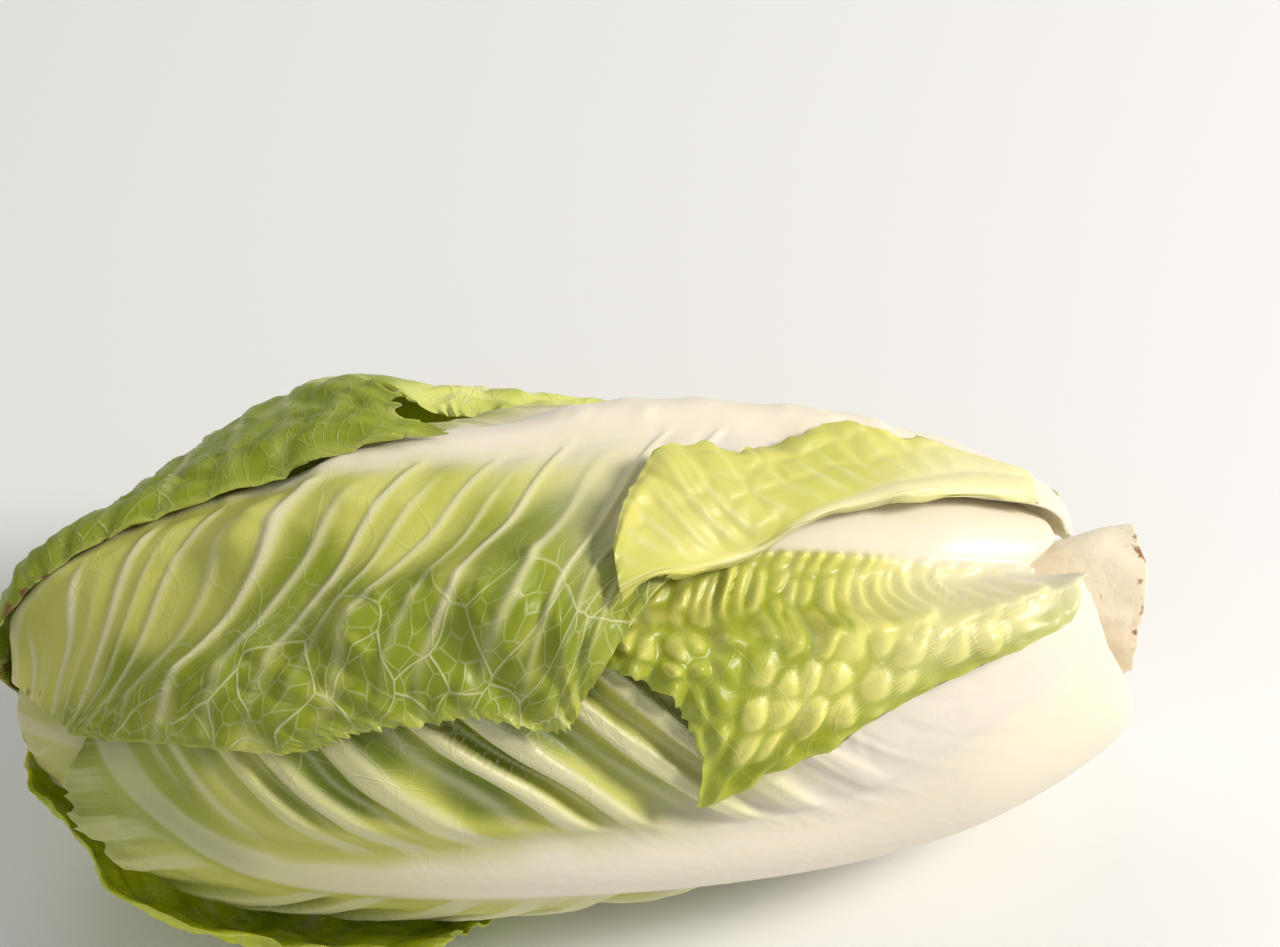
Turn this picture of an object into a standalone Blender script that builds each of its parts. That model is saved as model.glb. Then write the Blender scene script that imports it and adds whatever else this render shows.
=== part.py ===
"""A romaine heart: one head of lettuce leaves, trimmed and lying on its side.

The head lies along X with its cut butt at +X and its closed tip at -X. Every leaf is wrapped round the head
in layers. A point of the head is given by a direction, which turns from -X at the tip through square to the
axis to +X at the butt, and by a level, the distance out along that direction from a line inside the head.
Leaves are laid one over another from the smallest inner one outwards, and each lies on those beneath it.
"""

import math
from dataclasses import dataclass

import bpy
import numpy as np

MM = 0.001

# The head.
SPINE = 64 * MM  # half the length of the line inside the head that the layers wrap
GIRTH = 49 * MM  # radius of the head at its middle
FULLER_TIP = 0.10  # share by which the tip end is fuller than the middle
FLAT_UNDER = 39 * MM  # depth below the axis at which the head's own weight flattens the layers
REST_DEPTH = 43.5 * MM  # depth below the axis of the flat spot that the head rests on
REST_MIDDLE = (8 * MM, 1 * MM)  # middle of that spot along X and Y, from the middle of the head
REST_HALF = (15 * MM, 17 * MM)  # half its length and half its width

# The stem that the leaves grow from, as distances along X from the middle of the head.
BUTT_END = 113 * MM
BUTT_RADIUS = 15 * MM
STEM_TIP = 34 * MM
STEM_SIDES = 18
LONGEST_RAY = 1.6 * GIRTH  # longest ray on which the stem's outside is looked for
RAY_STEPS = 160
RAY_ANGLES = 181
BUTT_SLANT = 4 * MM  # how much shorter the butt is cut at its lowest side
SLANT_SHARE = 0.85  # share of the stem's length at which the slanted cut starts
SLANT_TURN = math.pi / 6  # where round the stem the cut is highest
CUT_SHRINK = 0.93  # how much the cut's edge is drawn in
CUT_HOLLOW = 0.8 * MM  # depth of the cut's middle
TAPER = 0.75  # how bluntly the stem tapers inside the head
STEM_RINGS = (0.03, 0.15, 0.35, 0.6, 0.85, 0.96, 1.0)  # shares of its length with a ring of corners
SCAR_LOBES = 3
SCAR_DEPTH = 0.07
SCAR_SHARE = 0.5  # share of the stem's length at which the scars start

# The range of angles from the tip that leaves may take, with how finely its lengths are worked out.
ARC_RANGE = (-40, 180)
ARC_STEPS = 441

# The leaves.
BLADE = 0.9 * MM  # thickness of a blade
STEM_AIR = 2 * MM  # air left along the ray between a leaf's base and the stem
REACH = 9 * MM  # how far round itself a leaf feels what it lies on
FIRM_REACH = 5 * MM  # how far it feels it when the layer has been smoothed
REFERENCE = 45 * MM  # level at which distances round the head are measured
LEAF_LINES = 46  # lines across a leaf on which its place in the layers is worked out
LEAF_COLUMNS = 12  # columns on each side of the midrib there
SMOOTHINGS = 3
BLOCK = 256  # places looked at together

SWEEP_PEAK = 1.6  # the higher, the nearer the tip the side ribs sweep most
SWEEP_BEND = 1.3  # how much the side ribs bend towards the margin
HUG_SHARE = 0.15  # share of the length by which the corners of a leaf's base have come back
HUG_BEND = 1.5
PUFF_START = 0.2  # share of the length at which the left half starts to stand off
FLARE_MIDDLE = 0.82  # and at which the right margin spreads most
FLARE_REACH = 0.2
FLARE_BEND = 1.3
LIFT_START = 0.7  # and at which the tip starts to spread
SWELL_SHARE = 0.015  # share of the length over which the swelling of a base rises
SWELL_FADE = 0.22  # and over which it fades
SWELL_WIDTH = 1.0  # how far across the leaf it reaches
MARGIN = 1.4 * MM  # how far the folds draw the margin out and in
MOST_DRAWN = 0.08  # but never by more than this share of the half width
END_FOLDS = 0.35  # height of the folds at both ends, as a share of that half way
FOLD_REACH = 12 * MM  # distance beside the midrib over which the folds reach their height
FLAT_POWER = 8  # how sharply the head's outside turns into its flattened underside
LEAST_DOWN = 0.05  # least share of straight down that a direction counts as
PRESSED_EDGE = 1.2  # how gently the flat spot fades round its edge
SHARP_ANGLE = 40  # edges sharper than this many degrees aren't shaded smooth
LEAST_LEVEL = 0.2  # least level that angles across a leaf are worked out with
RIB_START = 0.3  # how thick the midrib is at the very base, as a share of its thickest
RIB_RISE = 0.12
RIB_THINS = 0.85  # share of its thickness that the midrib has lost at the tip
RIB_THINNING = 0.9
RIB_NARROWS = 0.9  # share of its width that it has lost there
RIB_NARROWING = 0.55
LEAST_RIB = 1.2 * MM  # half width of the midrib at the tip
RIB_FADE = 1.35  # how far from its middle the midrib has sunk into the blade, as a share of its half width
RIB_ROUND = 1.2
RIB_FOOT = 1.3  # how far from its middle the midrib's swelling ends, as a share of its half width
FOOT_SHARES = (0.12, 0.6)  # least and greatest share of the half width at which it ends
RIB_SIDE = 0.55  # where a column runs along the swelling's side
BEYOND = (0, 0.38, 0.72, 1)  # columns beside the swelling, as shares of the way to the margin
PLAIN_BEYOND = (0, 0.5, 1)  # the same on an inner leaf

# Where along a leaf, from base to tip, its half widths and its midrib's course are given.
STATIONS = (0.0, 0.12, 0.26, 0.40, 0.54, 0.67, 0.79, 0.90, 1.0)
COMMON_WIDTHS = (14, 19, 31, 44, 52, 51, 43, 29, 6)
REAR_WIDTHS = (14, 19, 29, 38, 43, 43, 37, 26, 10)
STRAIGHT = (0, 0, 0, 0, 0, 0, 0, 0, 0)


@dataclass(frozen=True)
class Leaf:
    """One leaf. Angles are in degrees and lengths in millimetres."""

    name: str
    turn: float  # where its midrib lies round the head: 0 faces -Y and 90 faces up
    base: float = 150  # angle from the tip at which it leaves the stem
    tip: float = 12  # angle from the tip at which it ends
    level: float = 0.8  # least level of its inner face, as a share of the head's own
    left: tuple = COMMON_WIDTHS  # half widths on the side towards smaller turns
    right: tuple = COMMON_WIDTHS
    course: tuple = STRAIGHT  # how far the midrib strays to the right
    lead: float = 30  # how far the side ribs sweep towards the tip
    hug: float = 5  # how much further towards the butt the corners of its base reach
    rib: float = 5.5  # thickness of the midrib near its base
    rib_width: float = 13  # half width of the midrib near its base
    folds: float = 2.4  # height of the folds along the side ribs
    lines: int = 24  # lines across the leaf in the solid
    air: float = 1.2  # air left between it and the leaves under it
    plain: bool = False  # whether its solid has fewer columns
    puff: float = 0  # how far its left half stands off between midrib and margin
    flare: float = 0  # how far its right margin spreads outwards
    tip_lift: float = 0  # how far its tip spreads outwards
    belly: float = 0  # how far its base swells outwards
    belly_side: float = 0  # where across the leaf it swells most, from -1 to 1
    rise: float = 0.18  # how far along it has risen from the stem to its level, as a share
    rests: bool = False  # whether the head rests on it


# Inner leaves, smallest first. Each is turned by the golden angle from the last, as they grow.
GOLDEN_ANGLE = 137.5
FIRST_TURN = 205
INNER_LEAVES = 8
INNER_LEVELS = (0.17, 0.45)  # shares of the head's level for the first and the last
INNER_BASES = (125, 140)
INNER_TIPS = (40, 16)
INNER_LEADS = (14, 26)
INNER_RIBS = (2, 3.2)
INNER_RIB_WIDTHS = (4, 9)
INNER_FOLDS = (0.8, 1.3)
INNER_WIDTHS = (28, 34, 42, 49, 53, 53, 47, 37, 21)  # half widths if its level were the head's own


def inner_leaf(index):
    """The inner leaf of that place, counted from 0 at the middle of the head."""
    share = index / (INNER_LEAVES - 1)

    def between(pair):
        return pair[0] + (pair[1] - pair[0]) * share

    level = between(INNER_LEVELS)
    widths = tuple(width * max(level, LEAST_LEVEL) for width in INNER_WIDTHS)
    return Leaf(
        f"heart_leaf_{index + 1}",
        turn=FIRST_TURN + GOLDEN_ANGLE * index,
        base=between(INNER_BASES),
        tip=between(INNER_TIPS),
        level=level,
        left=widths,
        right=widths,
        lead=between(INNER_LEADS),
        rib=between(INNER_RIBS),
        rib_width=between(INNER_RIB_WIDTHS),
        folds=between(INNER_FOLDS),
        lines=12,
        hug=1,
        air=1.5,
        plain=True,
    )


OUTER_LEAVES = (
    Leaf(
        "rear_low_leaf",
        turn=-128,
        base=148,
        tip=14,
        level=0.7,
        left=REAR_WIDTHS,
        right=REAR_WIDTHS,
        rib=4,
        folds=1.6,
    ),
    Leaf(
        "rear_high_leaf",
        turn=154,
        base=150,
        tip=18,
        level=0.66,
        left=REAR_WIDTHS,
        right=REAR_WIDTHS,
        rib=4,
        folds=1.6,
    ),
    Leaf(
        "tip_leaf",
        turn=38,
        base=146,
        tip=8,
        level=0.66,
        left=(13, 16, 24, 34, 39, 39, 35, 27, 10),
        right=(13, 16, 24, 34, 39, 39, 35, 27, 10),
        rib=3.5,
        rib_width=9,
        folds=1.4,
        tip_lift=7,
    ),
    Leaf(
        "belly_leaf",
        turn=-12,
        base=161.5,
        tip=17,
        level=0.93,
        left=(18, 28, 37, 46, 50, 46, 36, 24, 6),
        right=(20, 35, 48, 56, 58, 54, 44, 28, 6),
        course=(-1, -3, -7, -1, 5, 6, 8, 19, 30),
        rib=8,
        rib_width=19,
        folds=3.4,
        belly=9,
        belly_side=-0.2,
        rise=0.06,
    ),
    Leaf(
        "crinkled_leaf",
        turn=85,
        base=161,
        tip=55,
        level=0.8,
        belly=5,
        rise=0.08,
        left=(19, 29, 35, 38, 35, 28, 20, 12, 4),
        right=(16, 20, 23, 26, 28, 28, 22, 13, 4),
        lead=14,
        rib=5.5,
        rib_width=12,
        folds=2.4,
        lines=20,
    ),
    Leaf(
        "top_leaf",
        turn=113,
        base=156,
        tip=10,
        level=0.88,
        air=1.4,
        left=(16, 19, 34, 54, 55, 47, 45, 37, 16),
        right=(16, 20, 31, 46, 54, 51, 41, 27, 10),
        course=(4, 4, 6, 3, -4, -4, -2, -6, -9),
        rib=5,
        rib_width=10,
        folds=2.4,
    ),
    Leaf(
        "torn_leaf",
        turn=85,
        base=154,
        tip=92,
        level=0.7,
        left=(7, 5, 4, 4, 4, 4, 4, 4, 4),
        right=(13, 15, 14, 12, 12, 17, 17, 13, 5),
        course=(12, 8, 4, 0, -6, -14, -18, -20, -24),
        lead=6,
        rib=2.4,
        rib_width=3,
        folds=1.0,
        lines=16,
    ),
    Leaf(
        "back_leaf",
        turn=190,
        base=158,
        tip=3,
        level=0.84,
        left=(17, 20, 23, 29, 41, 54, 55, 38, 15),
        right=(17, 21, 31, 45, 53, 53, 44, 29, 12),
        folds=1.8,
        puff=14,
    ),
    Leaf(
        "under_leaf",
        turn=-100,
        base=160,
        tip=8,
        level=0.86,
        left=(16, 21, 30, 42, 49, 47, 39, 26, 9),
        right=(16, 23, 29, 34, 41, 46, 42, 29, 10),
        rib=6,
        folds=2.0,
        flare=5,
        belly=2,
        rests=True,
    ),
)

LEAF_COLOURS = {
    "stem": (0.72, 0.62, 0.42),
    "inner": (0.66, 0.70, 0.28),
    "outer": (0.42, 0.53, 0.13),
}
ROUGHNESS = 0.45


def clear_scene():
    """Removes what the scene starts with."""
    for item in list(bpy.data.objects):
        bpy.data.objects.remove(item)


def direction(along, across, turn):
    """Unit vectors for angles along a leaf from the head's tip and across it, for a midrib at that turn."""
    outward = np.cos(across) * np.sin(along)
    sideways = np.sin(across)
    return np.stack(
        [
            -np.cos(across) * np.cos(along),
            -outward * math.cos(turn) + sideways * math.sin(turn),
            outward * math.sin(turn) + sideways * math.cos(turn),
        ],
        axis=-1,
    )


def point(directions, levels):
    """Points of the head at those levels, with the middle of the head as origin."""
    points = directions * levels[..., None]
    points[..., 0] += SPINE * directions[..., 0]
    return points


def head_level(directions):
    """Level of the head's own outside, flattened underneath."""
    own = GIRTH * (1 - FULLER_TIP * directions[..., 0])
    flat = FLAT_UNDER / downward(directions)
    return (own**-FLAT_POWER + flat**-FLAT_POWER) ** (-1 / FLAT_POWER)


def downward(directions):
    """How far the directions point down, and at least a little."""
    return np.maximum(-directions[..., 2], LEAST_DOWN)


def stem_radius(x):
    """Radius of the stem at that distance along X, without its scars."""
    share = np.clip((x - STEM_TIP) / (BUTT_END - STEM_TIP), 0, 1)
    return BUTT_RADIUS * share**TAPER


def stem_level(directions):
    """Level at which a ray leaves the stem, scars included."""
    trial = np.linspace(0, LONGEST_RAY, RAY_STEPS)
    angle = np.linspace(0, math.pi, RAY_ANGLES)
    x = -(SPINE + trial) * np.cos(angle)[:, None]
    radius = trial * np.sin(angle)[:, None]
    inside = (radius < stem_radius(x) * (1 + SCAR_DEPTH)) & (x < BUTT_END) & (x > STEM_TIP)
    leaves_at = np.where(inside, trial, 0).max(axis=1)
    return np.interp(np.arccos(np.clip(-directions[..., 0], -1, 1)), angle, leaves_at)


def arc_table():
    """Angles from the tip, and the distance from the tip along the head's outside at each."""
    angles = np.radians(np.linspace(*ARC_RANGE, ARC_STEPS))
    steps = np.hypot((SPINE + GIRTH) * np.sin(angles), GIRTH * np.cos(angles))
    lengths = np.concatenate([[0], np.cumsum((steps[1:] + steps[:-1]) / 2 * np.diff(angles))])
    return angles, lengths - np.interp(0, angles, lengths)


ARC_ANGLES, ARC_LENGTHS = arc_table()


def smooth_through(stations, values, where):
    """A smooth curve through values at stations, read at where."""
    stations, values = np.asarray(stations, float), np.asarray(values, float)
    slopes = np.gradient(values, stations)
    index = np.clip(np.searchsorted(stations, where, side="right") - 1, 0, len(stations) - 2)
    width = stations[index + 1] - stations[index]
    t = (where - stations[index]) / width
    return (
        values[index] * (1 + 2 * t) * (1 - t) ** 2
        + slopes[index] * width * t * (1 - t) ** 2
        + values[index + 1] * t**2 * (3 - 2 * t)
        + slopes[index + 1] * width * t**2 * (t - 1)
    )


def leaf_angles(leaf, q, f):
    """Angles along and across for shares q along the leaf and f across it, from -1 to 1."""
    start, end = np.interp(np.radians([leaf.base, leaf.tip]), ARC_ANGLES, ARC_LENGTHS)
    middle = start + (end - start) * q
    swept = leaf.lead * MM * np.sin(np.pi * q**SWEEP_PEAK) * np.abs(f) ** SWEEP_BEND
    swept = swept - leaf.hug * MM * f**2 * np.clip(1 - q / HUG_SHARE, 0, 1) ** HUG_BEND
    along = np.interp(middle - swept, ARC_LENGTHS, ARC_ANGLES)
    scale = max(leaf.level, LEAST_LEVEL) * GIRTH
    widths = np.where(
        f < 0, smooth_through(STATIONS, leaf.left, q), smooth_through(STATIONS, leaf.right, q)
    )
    stray = smooth_through(STATIONS, leaf.course, q)
    return along, np.radians(stray) + f * widths * MM / scale


def rib_profile(leaf, q):
    """Thickness and half width of the midrib at shares q along the leaf, in metres."""
    swelling = (1 - RIB_THINS * q**RIB_THINNING) * np.clip(RIB_START + q / RIB_RISE, 0, 1)
    thick = BLADE + (leaf.rib * MM - BLADE) * swelling
    half = leaf.rib_width * MM * (1 - RIB_NARROWS * q**RIB_NARROWING) + LEAST_RIB
    return thick, half


def side_width(leaf, q, f):
    """Half width of the leaf on the side of f, in metres."""
    sides = np.where(f < 0, smooth_through(STATIONS, leaf.left, q), smooth_through(STATIONS, leaf.right, q))
    return sides * MM


def thickness(leaf, q, f):
    """Thickness at shares q and f: a blade with the midrib's swelling along its middle."""
    thick, half = rib_profile(leaf, q)
    off = np.abs(f) * side_width(leaf, q, f) / half
    swell = np.clip(1 - (off / RIB_FADE) ** 2, 0, 1) ** RIB_ROUND
    return BLADE + (thick - BLADE) * swell


def fold_room(leaf, q, f):
    """Room that the folds along the side ribs may take outwards."""
    _, half = rib_profile(leaf, q)
    off = np.abs(f) * side_width(leaf, q, f)
    rise = np.clip((off - half) / FOLD_REACH, 0, 1)
    lengthwise = END_FOLDS + (1 - END_FOLDS) * np.sin(np.pi * q)
    return leaf.folds * MM * rise * lengthwise


def stand_off(leaf, q, f):
    """How far the leaf stands off what it lies on, as its fields puff, flare, tip_lift and belly say."""
    lengthwise = np.sin(np.pi * np.clip((q - PUFF_START) / (1 - PUFF_START), 0, 1))
    puffed = leaf.puff * lengthwise * np.clip(np.sin(np.pi * np.clip(-f, 0, 1)), 0, 1)
    flared = leaf.flare * np.exp(-(((q - FLARE_MIDDLE) / FLARE_REACH) ** 2)) * np.clip(f, 0, 1) ** FLARE_BEND
    lifted = leaf.tip_lift * np.clip((q - LIFT_START) / (1 - LIFT_START), 0, 1) ** 2
    swelling = (1 - np.exp(-q / SWELL_SHARE)) * np.exp(-((q / SWELL_FADE) ** 2))
    swollen = leaf.belly * swelling * np.exp(-(((f - leaf.belly_side) / SWELL_WIDTH) ** 2))
    return (puffed + flared + lifted + swollen) * MM


def highest_near(places, others, tops, reach):
    """For each place, the highest top among the others within reach, or 0 if none is."""
    found = np.zeros(len(places))
    for first in range(0, len(places), BLOCK):
        block = places[first : first + BLOCK]
        apart = (
            (block**2).sum(1)[:, None] + (others**2).sum(1)[None, :] - 2 * block @ others.T
        )
        found[first : first + BLOCK] = np.where(apart < reach**2, tops[None, :], 0).max(axis=1)
    return found


def smoothed(field):
    """The field averaged with its neighbours along both sides, with its edges kept."""
    for _ in range(2):
        padded = np.concatenate([field[:1], field, field[-1:]])
        field = ((padded[:-2] + 2 * padded[1:-1] + padded[2:]) / 4).T
    return field


def doubled(field):
    """The field with a value between each two neighbours, along both sides."""
    for _ in range(2):
        finer = np.repeat(field, 2, axis=0)[:-1]
        finer[1::2] = (field[:-1] + field[1:]) / 2
        field = np.swapaxes(finer, 0, 1)
    return field


def lay_leaf(leaf, placed):
    """Lays the leaf over those placed so far, adds it to them and returns the level of its inner face."""
    q, f = np.meshgrid(
        np.linspace(0, 1, LEAF_LINES), np.linspace(-1, 1, 2 * LEAF_COLUMNS + 1), indexing="ij"
    )
    along, across = leaf_angles(leaf, q, f)
    directions = direction(along, across, math.radians(leaf.turn))
    places = point(directions, np.full(q.shape, REFERENCE)).reshape(-1, 3)
    risen = np.clip(q / leaf.rise, 0, 1)
    own = leaf.level * head_level(directions) * risen * (2 - risen)
    own = np.maximum(own, stem_level(directions) + STEM_AIR)
    wide, firm, air = own.copy(), own.copy(), leaf.air * MM
    for others, tops in placed:
        wide = np.maximum(wide, highest_near(places, others, tops, REACH).reshape(q.shape) + air)
        firm = np.maximum(firm, highest_near(places, others, tops, FIRM_REACH).reshape(q.shape) + air)
    floor = wide
    for _ in range(SMOOTHINGS):
        floor = np.maximum(smoothed(floor), firm)
    floor = np.maximum(smoothed(floor), firm) + stand_off(leaf, q, f)
    top = floor + fold_room(leaf, q, f) + thickness(leaf, q, f)
    fine = doubled(directions)
    fine /= np.linalg.norm(fine, axis=-1, keepdims=True)
    others = point(fine, np.full(fine.shape[:2], REFERENCE)).reshape(-1, 3)
    placed.append((others, doubled(top).ravel()))
    return floor


def read_field(field, q, f):
    """The field of a leaf, worked out on its lines and columns, read at shares q and f."""
    row = np.clip(q, 0, 1) * (LEAF_LINES - 1)
    column = (np.clip(f, -1, 1) + 1) * LEAF_COLUMNS
    i = np.minimum(row.astype(int), LEAF_LINES - 2)
    j = np.minimum(column.astype(int), 2 * LEAF_COLUMNS - 1)
    a, b = row - i, column - j
    return (
        field[i, j] * (1 - a) * (1 - b)
        + field[i + 1, j] * a * (1 - b)
        + field[i, j + 1] * (1 - a) * b
        + field[i + 1, j + 1] * a * b
    )


def solid_grid(leaf):
    """Shares q and f of the solid's corners. The columns crowd round the midrib's swelling."""
    q = np.linspace(0, 1, leaf.lines + 1)
    _, half = rib_profile(leaf, q)
    shares = []
    for side in (-1, 1):
        width = side_width(leaf, q, np.full(q.shape, float(side)))
        edge = np.clip(RIB_FOOT * half / width, *FOOT_SHARES)
        columns = [] if leaf.plain else [RIB_SIDE * edge]
        columns += [edge + share * (1 - edge) for share in (PLAIN_BEYOND if leaf.plain else BEYOND)]
        shares.append([side * column for column in columns])
    f = np.stack(shares[0][::-1] + [np.zeros(q.shape)] + shares[1], axis=1)
    return np.repeat(q[:, None], f.shape[1], axis=1), f


def leaf_solid(leaf, floor):
    """Corners of the leaf's inner and outer faces. Every second line is a fold, raised and drawn out."""
    q, f = solid_grid(leaf)
    folded = (np.arange(q.shape[0]) % 2)[:, None] * np.ones(q.shape[1])
    tooth = np.minimum(MARGIN / side_width(leaf, q, f), MOST_DRAWN)
    at_margin = np.isclose(np.abs(f), 1)
    drawn = np.where(at_margin, f * (1 + tooth * (2 * folded - 1)), f)
    along, across = leaf_angles(leaf, q, drawn)
    directions = direction(along, across, math.radians(leaf.turn))
    inner = read_field(floor, q, f) + folded * fold_room(leaf, q, f)
    outer = inner + thickness(leaf, q, f)
    if leaf.rests:
        lowest = REST_DEPTH / downward(directions)
        outer = np.minimum(outer + pressed(point(directions, lowest)) * (lowest - outer), lowest)
        inner = np.minimum(inner, lowest - BLADE)
    return point(directions, inner), point(directions, outer)


def pressed(places):
    """How fully the head's weight presses the places onto the surface: 1 on the flat spot, 0 well off it."""
    off = np.maximum(
        np.abs(places[..., 0] - REST_MIDDLE[0]) / REST_HALF[0],
        np.abs(places[..., 1] - REST_MIDDLE[1]) / REST_HALF[1],
    )
    return np.clip(1 + PRESSED_EDGE * (1 - off), 0, 1)


def add_object(name, corners, faces, colour):
    """Adds a closed mesh as one object with its own material."""
    mesh = bpy.data.meshes.new(name)
    mesh.from_pydata(corners, [], faces)
    mesh.validate()
    mesh.shade_smooth()
    mesh.set_sharp_from_angle(angle=math.radians(SHARP_ANGLE))
    material = bpy.data.materials.new(name)
    material.use_nodes = True
    shader = material.node_tree.nodes["Principled BSDF"]
    shader.inputs["Base Color"].default_value = (*colour, 1)
    shader.inputs["Roughness"].default_value = ROUGHNESS
    shader.inputs["Metallic"].default_value = 0
    mesh.materials.append(material)
    item = bpy.data.objects.new(name, mesh)
    bpy.context.scene.collection.objects.link(item)
    return item


def shell_faces(rows, columns):
    """Triangles of a closed shell between two grids of corners, the first grid being the inner face."""
    count = rows * columns
    faces = []
    for i in range(rows - 1):
        for j in range(columns - 1):
            a, b = i * columns + j, i * columns + j + 1
            c, d = b + columns, a + columns
            halves = [(a, b, c), (a, c, d)] if (j < columns // 2) else [(a, b, d), (b, c, d)]
            for half in halves:
                faces.append(half[::-1])
                faces.append(tuple(corner + count for corner in half))
    border = list(range(columns))
    border += [i * columns + columns - 1 for i in range(1, rows)]
    border += [(rows - 1) * columns + j for j in range(columns - 2, -1, -1)]
    border += [i * columns for i in range(rows - 2, 0, -1)]
    for a, b in zip(border, border[1:] + border[:1]):
        faces.append((a, b, b + count))
        faces.append((a, b + count, a + count))
    return faces


def add_leaf(leaf, floor, colour):
    """Builds one leaf as a closed solid."""
    inner, outer = leaf_solid(leaf, floor)
    rows, columns = inner.shape[:2]
    corners = np.concatenate([inner.reshape(-1, 3), outer.reshape(-1, 3)])
    faces = shell_faces(rows, columns)
    return add_object(leaf.name, corners.tolist(), faces, colour)


def add_stem():
    """Builds the stem: a cone inside the head that ends in the cut butt, with the scars of trimmed leaves."""
    corners = [(STEM_TIP, 0, 0)]
    for share in STEM_RINGS:
        x = STEM_TIP + (BUTT_END - STEM_TIP) * share
        shrink = CUT_SHRINK if share == STEM_RINGS[-1] else 1.0
        scar = SCAR_DEPTH * max(0.0, (share - SCAR_SHARE) / (1 - SCAR_SHARE))
        slant = BUTT_SLANT * max(0.0, share - SLANT_SHARE) / (1 - SLANT_SHARE)
        for k in range(STEM_SIDES):
            angle = 2 * math.pi * k / STEM_SIDES
            radius = float(stem_radius(x)) * shrink * (1 + scar * math.cos(SCAR_LOBES * angle))
            cut = slant * (1 - math.cos(angle - SLANT_TURN)) / 2
            corners.append((x - cut, radius * math.sin(angle), radius * math.cos(angle)))
    corners.append((BUTT_END - BUTT_SLANT / 2 - CUT_HOLLOW, 0, 0))
    last = len(corners) - 1
    faces = []
    for k in range(STEM_SIDES):
        after = (k + 1) % STEM_SIDES
        faces.append((0, 1 + k, 1 + after))
        for ring in range(len(STEM_RINGS) - 1):
            low, high = 1 + ring * STEM_SIDES, 1 + (ring + 1) * STEM_SIDES
            faces.append((low + k, high + k, high + after))
            faces.append((low + k, high + after, low + after))
        top = 1 + (len(STEM_RINGS) - 1) * STEM_SIDES
        faces.append((top + k, last, top + after))
    return add_object("stem", corners, faces, LEAF_COLOURS["stem"])


def set_on_surface(items):
    """Moves the head so that it rests at height 0 with the middle of its outline over the origin."""
    corners = np.array([corner.co for item in items for corner in item.data.vertices])
    low, high = corners.min(axis=0), corners.max(axis=0)
    place = (-(low[0] + high[0]) / 2, -(low[1] + high[1]) / 2, -low[2])
    for item in items:
        for corner in item.data.vertices:
            corner.co = corner.co[0] + place[0], corner.co[1] + place[1], corner.co[2] + place[2]
        item.data.update()


def main():
    """Builds the stem and then the leaves, from the smallest inner one outwards."""
    clear_scene()
    items = [add_stem()]
    placed = []
    for index in range(INNER_LEAVES):
        leaf = inner_leaf(index)
        items.append(add_leaf(leaf, lay_leaf(leaf, placed), LEAF_COLOURS["inner"]))
    for leaf in OUTER_LEAVES:
        items.append(add_leaf(leaf, lay_leaf(leaf, placed), LEAF_COLOURS["outer"]))
    set_on_surface(items)


main()
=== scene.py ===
"""The romaine heart in its finished look, built round the solid part.

The leaves are laid in the same layers as the solid ones, from the smallest inner leaf outwards, on a much finer
grid. Each gets its side ribs, blisters, ruffles and teeth, and a finish whose colours follow the leaf's own
lengths: ivory at the base and along the ribs, green between them, with shade painted into the furrows, into the
seams between blisters and towards the back leaf's tip.
"""

import logging
import math
from dataclasses import dataclass, field, replace
from enum import Enum
from typing import Any

import bpy
import numpy as np
from mathutils import Matrix, Vector


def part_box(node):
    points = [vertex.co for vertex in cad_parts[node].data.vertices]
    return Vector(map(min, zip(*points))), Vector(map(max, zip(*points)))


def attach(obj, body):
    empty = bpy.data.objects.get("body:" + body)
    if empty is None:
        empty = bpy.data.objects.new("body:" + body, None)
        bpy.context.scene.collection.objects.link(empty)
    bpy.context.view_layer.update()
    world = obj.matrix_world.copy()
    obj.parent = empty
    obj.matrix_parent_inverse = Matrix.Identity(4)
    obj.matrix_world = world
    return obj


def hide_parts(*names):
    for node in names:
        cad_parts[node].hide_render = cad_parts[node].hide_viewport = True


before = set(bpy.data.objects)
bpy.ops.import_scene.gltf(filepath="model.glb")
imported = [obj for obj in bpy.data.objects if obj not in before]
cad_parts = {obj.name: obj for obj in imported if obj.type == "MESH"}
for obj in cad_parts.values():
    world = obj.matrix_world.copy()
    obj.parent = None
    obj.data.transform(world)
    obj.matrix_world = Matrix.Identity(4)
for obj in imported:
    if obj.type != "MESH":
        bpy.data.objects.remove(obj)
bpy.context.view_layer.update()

log = logging.getLogger("romaine")

MM = 0.001
Array = np.ndarray
Colour = tuple[float, float, float]
Pair = tuple[float, float]
Row = tuple[float, ...]
Faces = list[list[int]]

# The head, as in the solid part.
SPINE = 64 * MM  # half length of the line round which levels are measured
GIRTH = 49 * MM  # level of the outside
FULLER_TIP = 0.10
FLAT_UNDER = 39 * MM  # depth of the flattened underside below the axis
REST_DEPTH = 43.5 * MM  # and of the surface on which the head rests
REST_MIDDLE = (8 * MM, 1 * MM)
REST_HALF = (15 * MM, 17 * MM)
BUTT_END = 113 * MM
BUTT_RADIUS = 15 * MM
STEM_TIP = 34 * MM
STEM_TAPER = 0.75  # power of the length with which the stem widens
SCAR_ROOM = 1.07  # room for the stem's scars
BUTT_SLANT = 4 * MM
REFERENCE = 45 * MM  # level at which places on different leaves are compared
FLATTENING = 8  # how sharply the head's outside turns into its flat underside
LEAST_DOWN = 0.05  # least downward share of a direction for which the underside counts
LONGEST_RAY = 1.6 * GIRTH
STEM_LOW, STEM_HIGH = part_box("stem")
HEAD_PLACE = (STEM_LOW.x - STEM_TIP, (STEM_LOW.y + STEM_HIGH.y) / 2, REST_DEPTH)  # the head's middle in the frame

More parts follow.
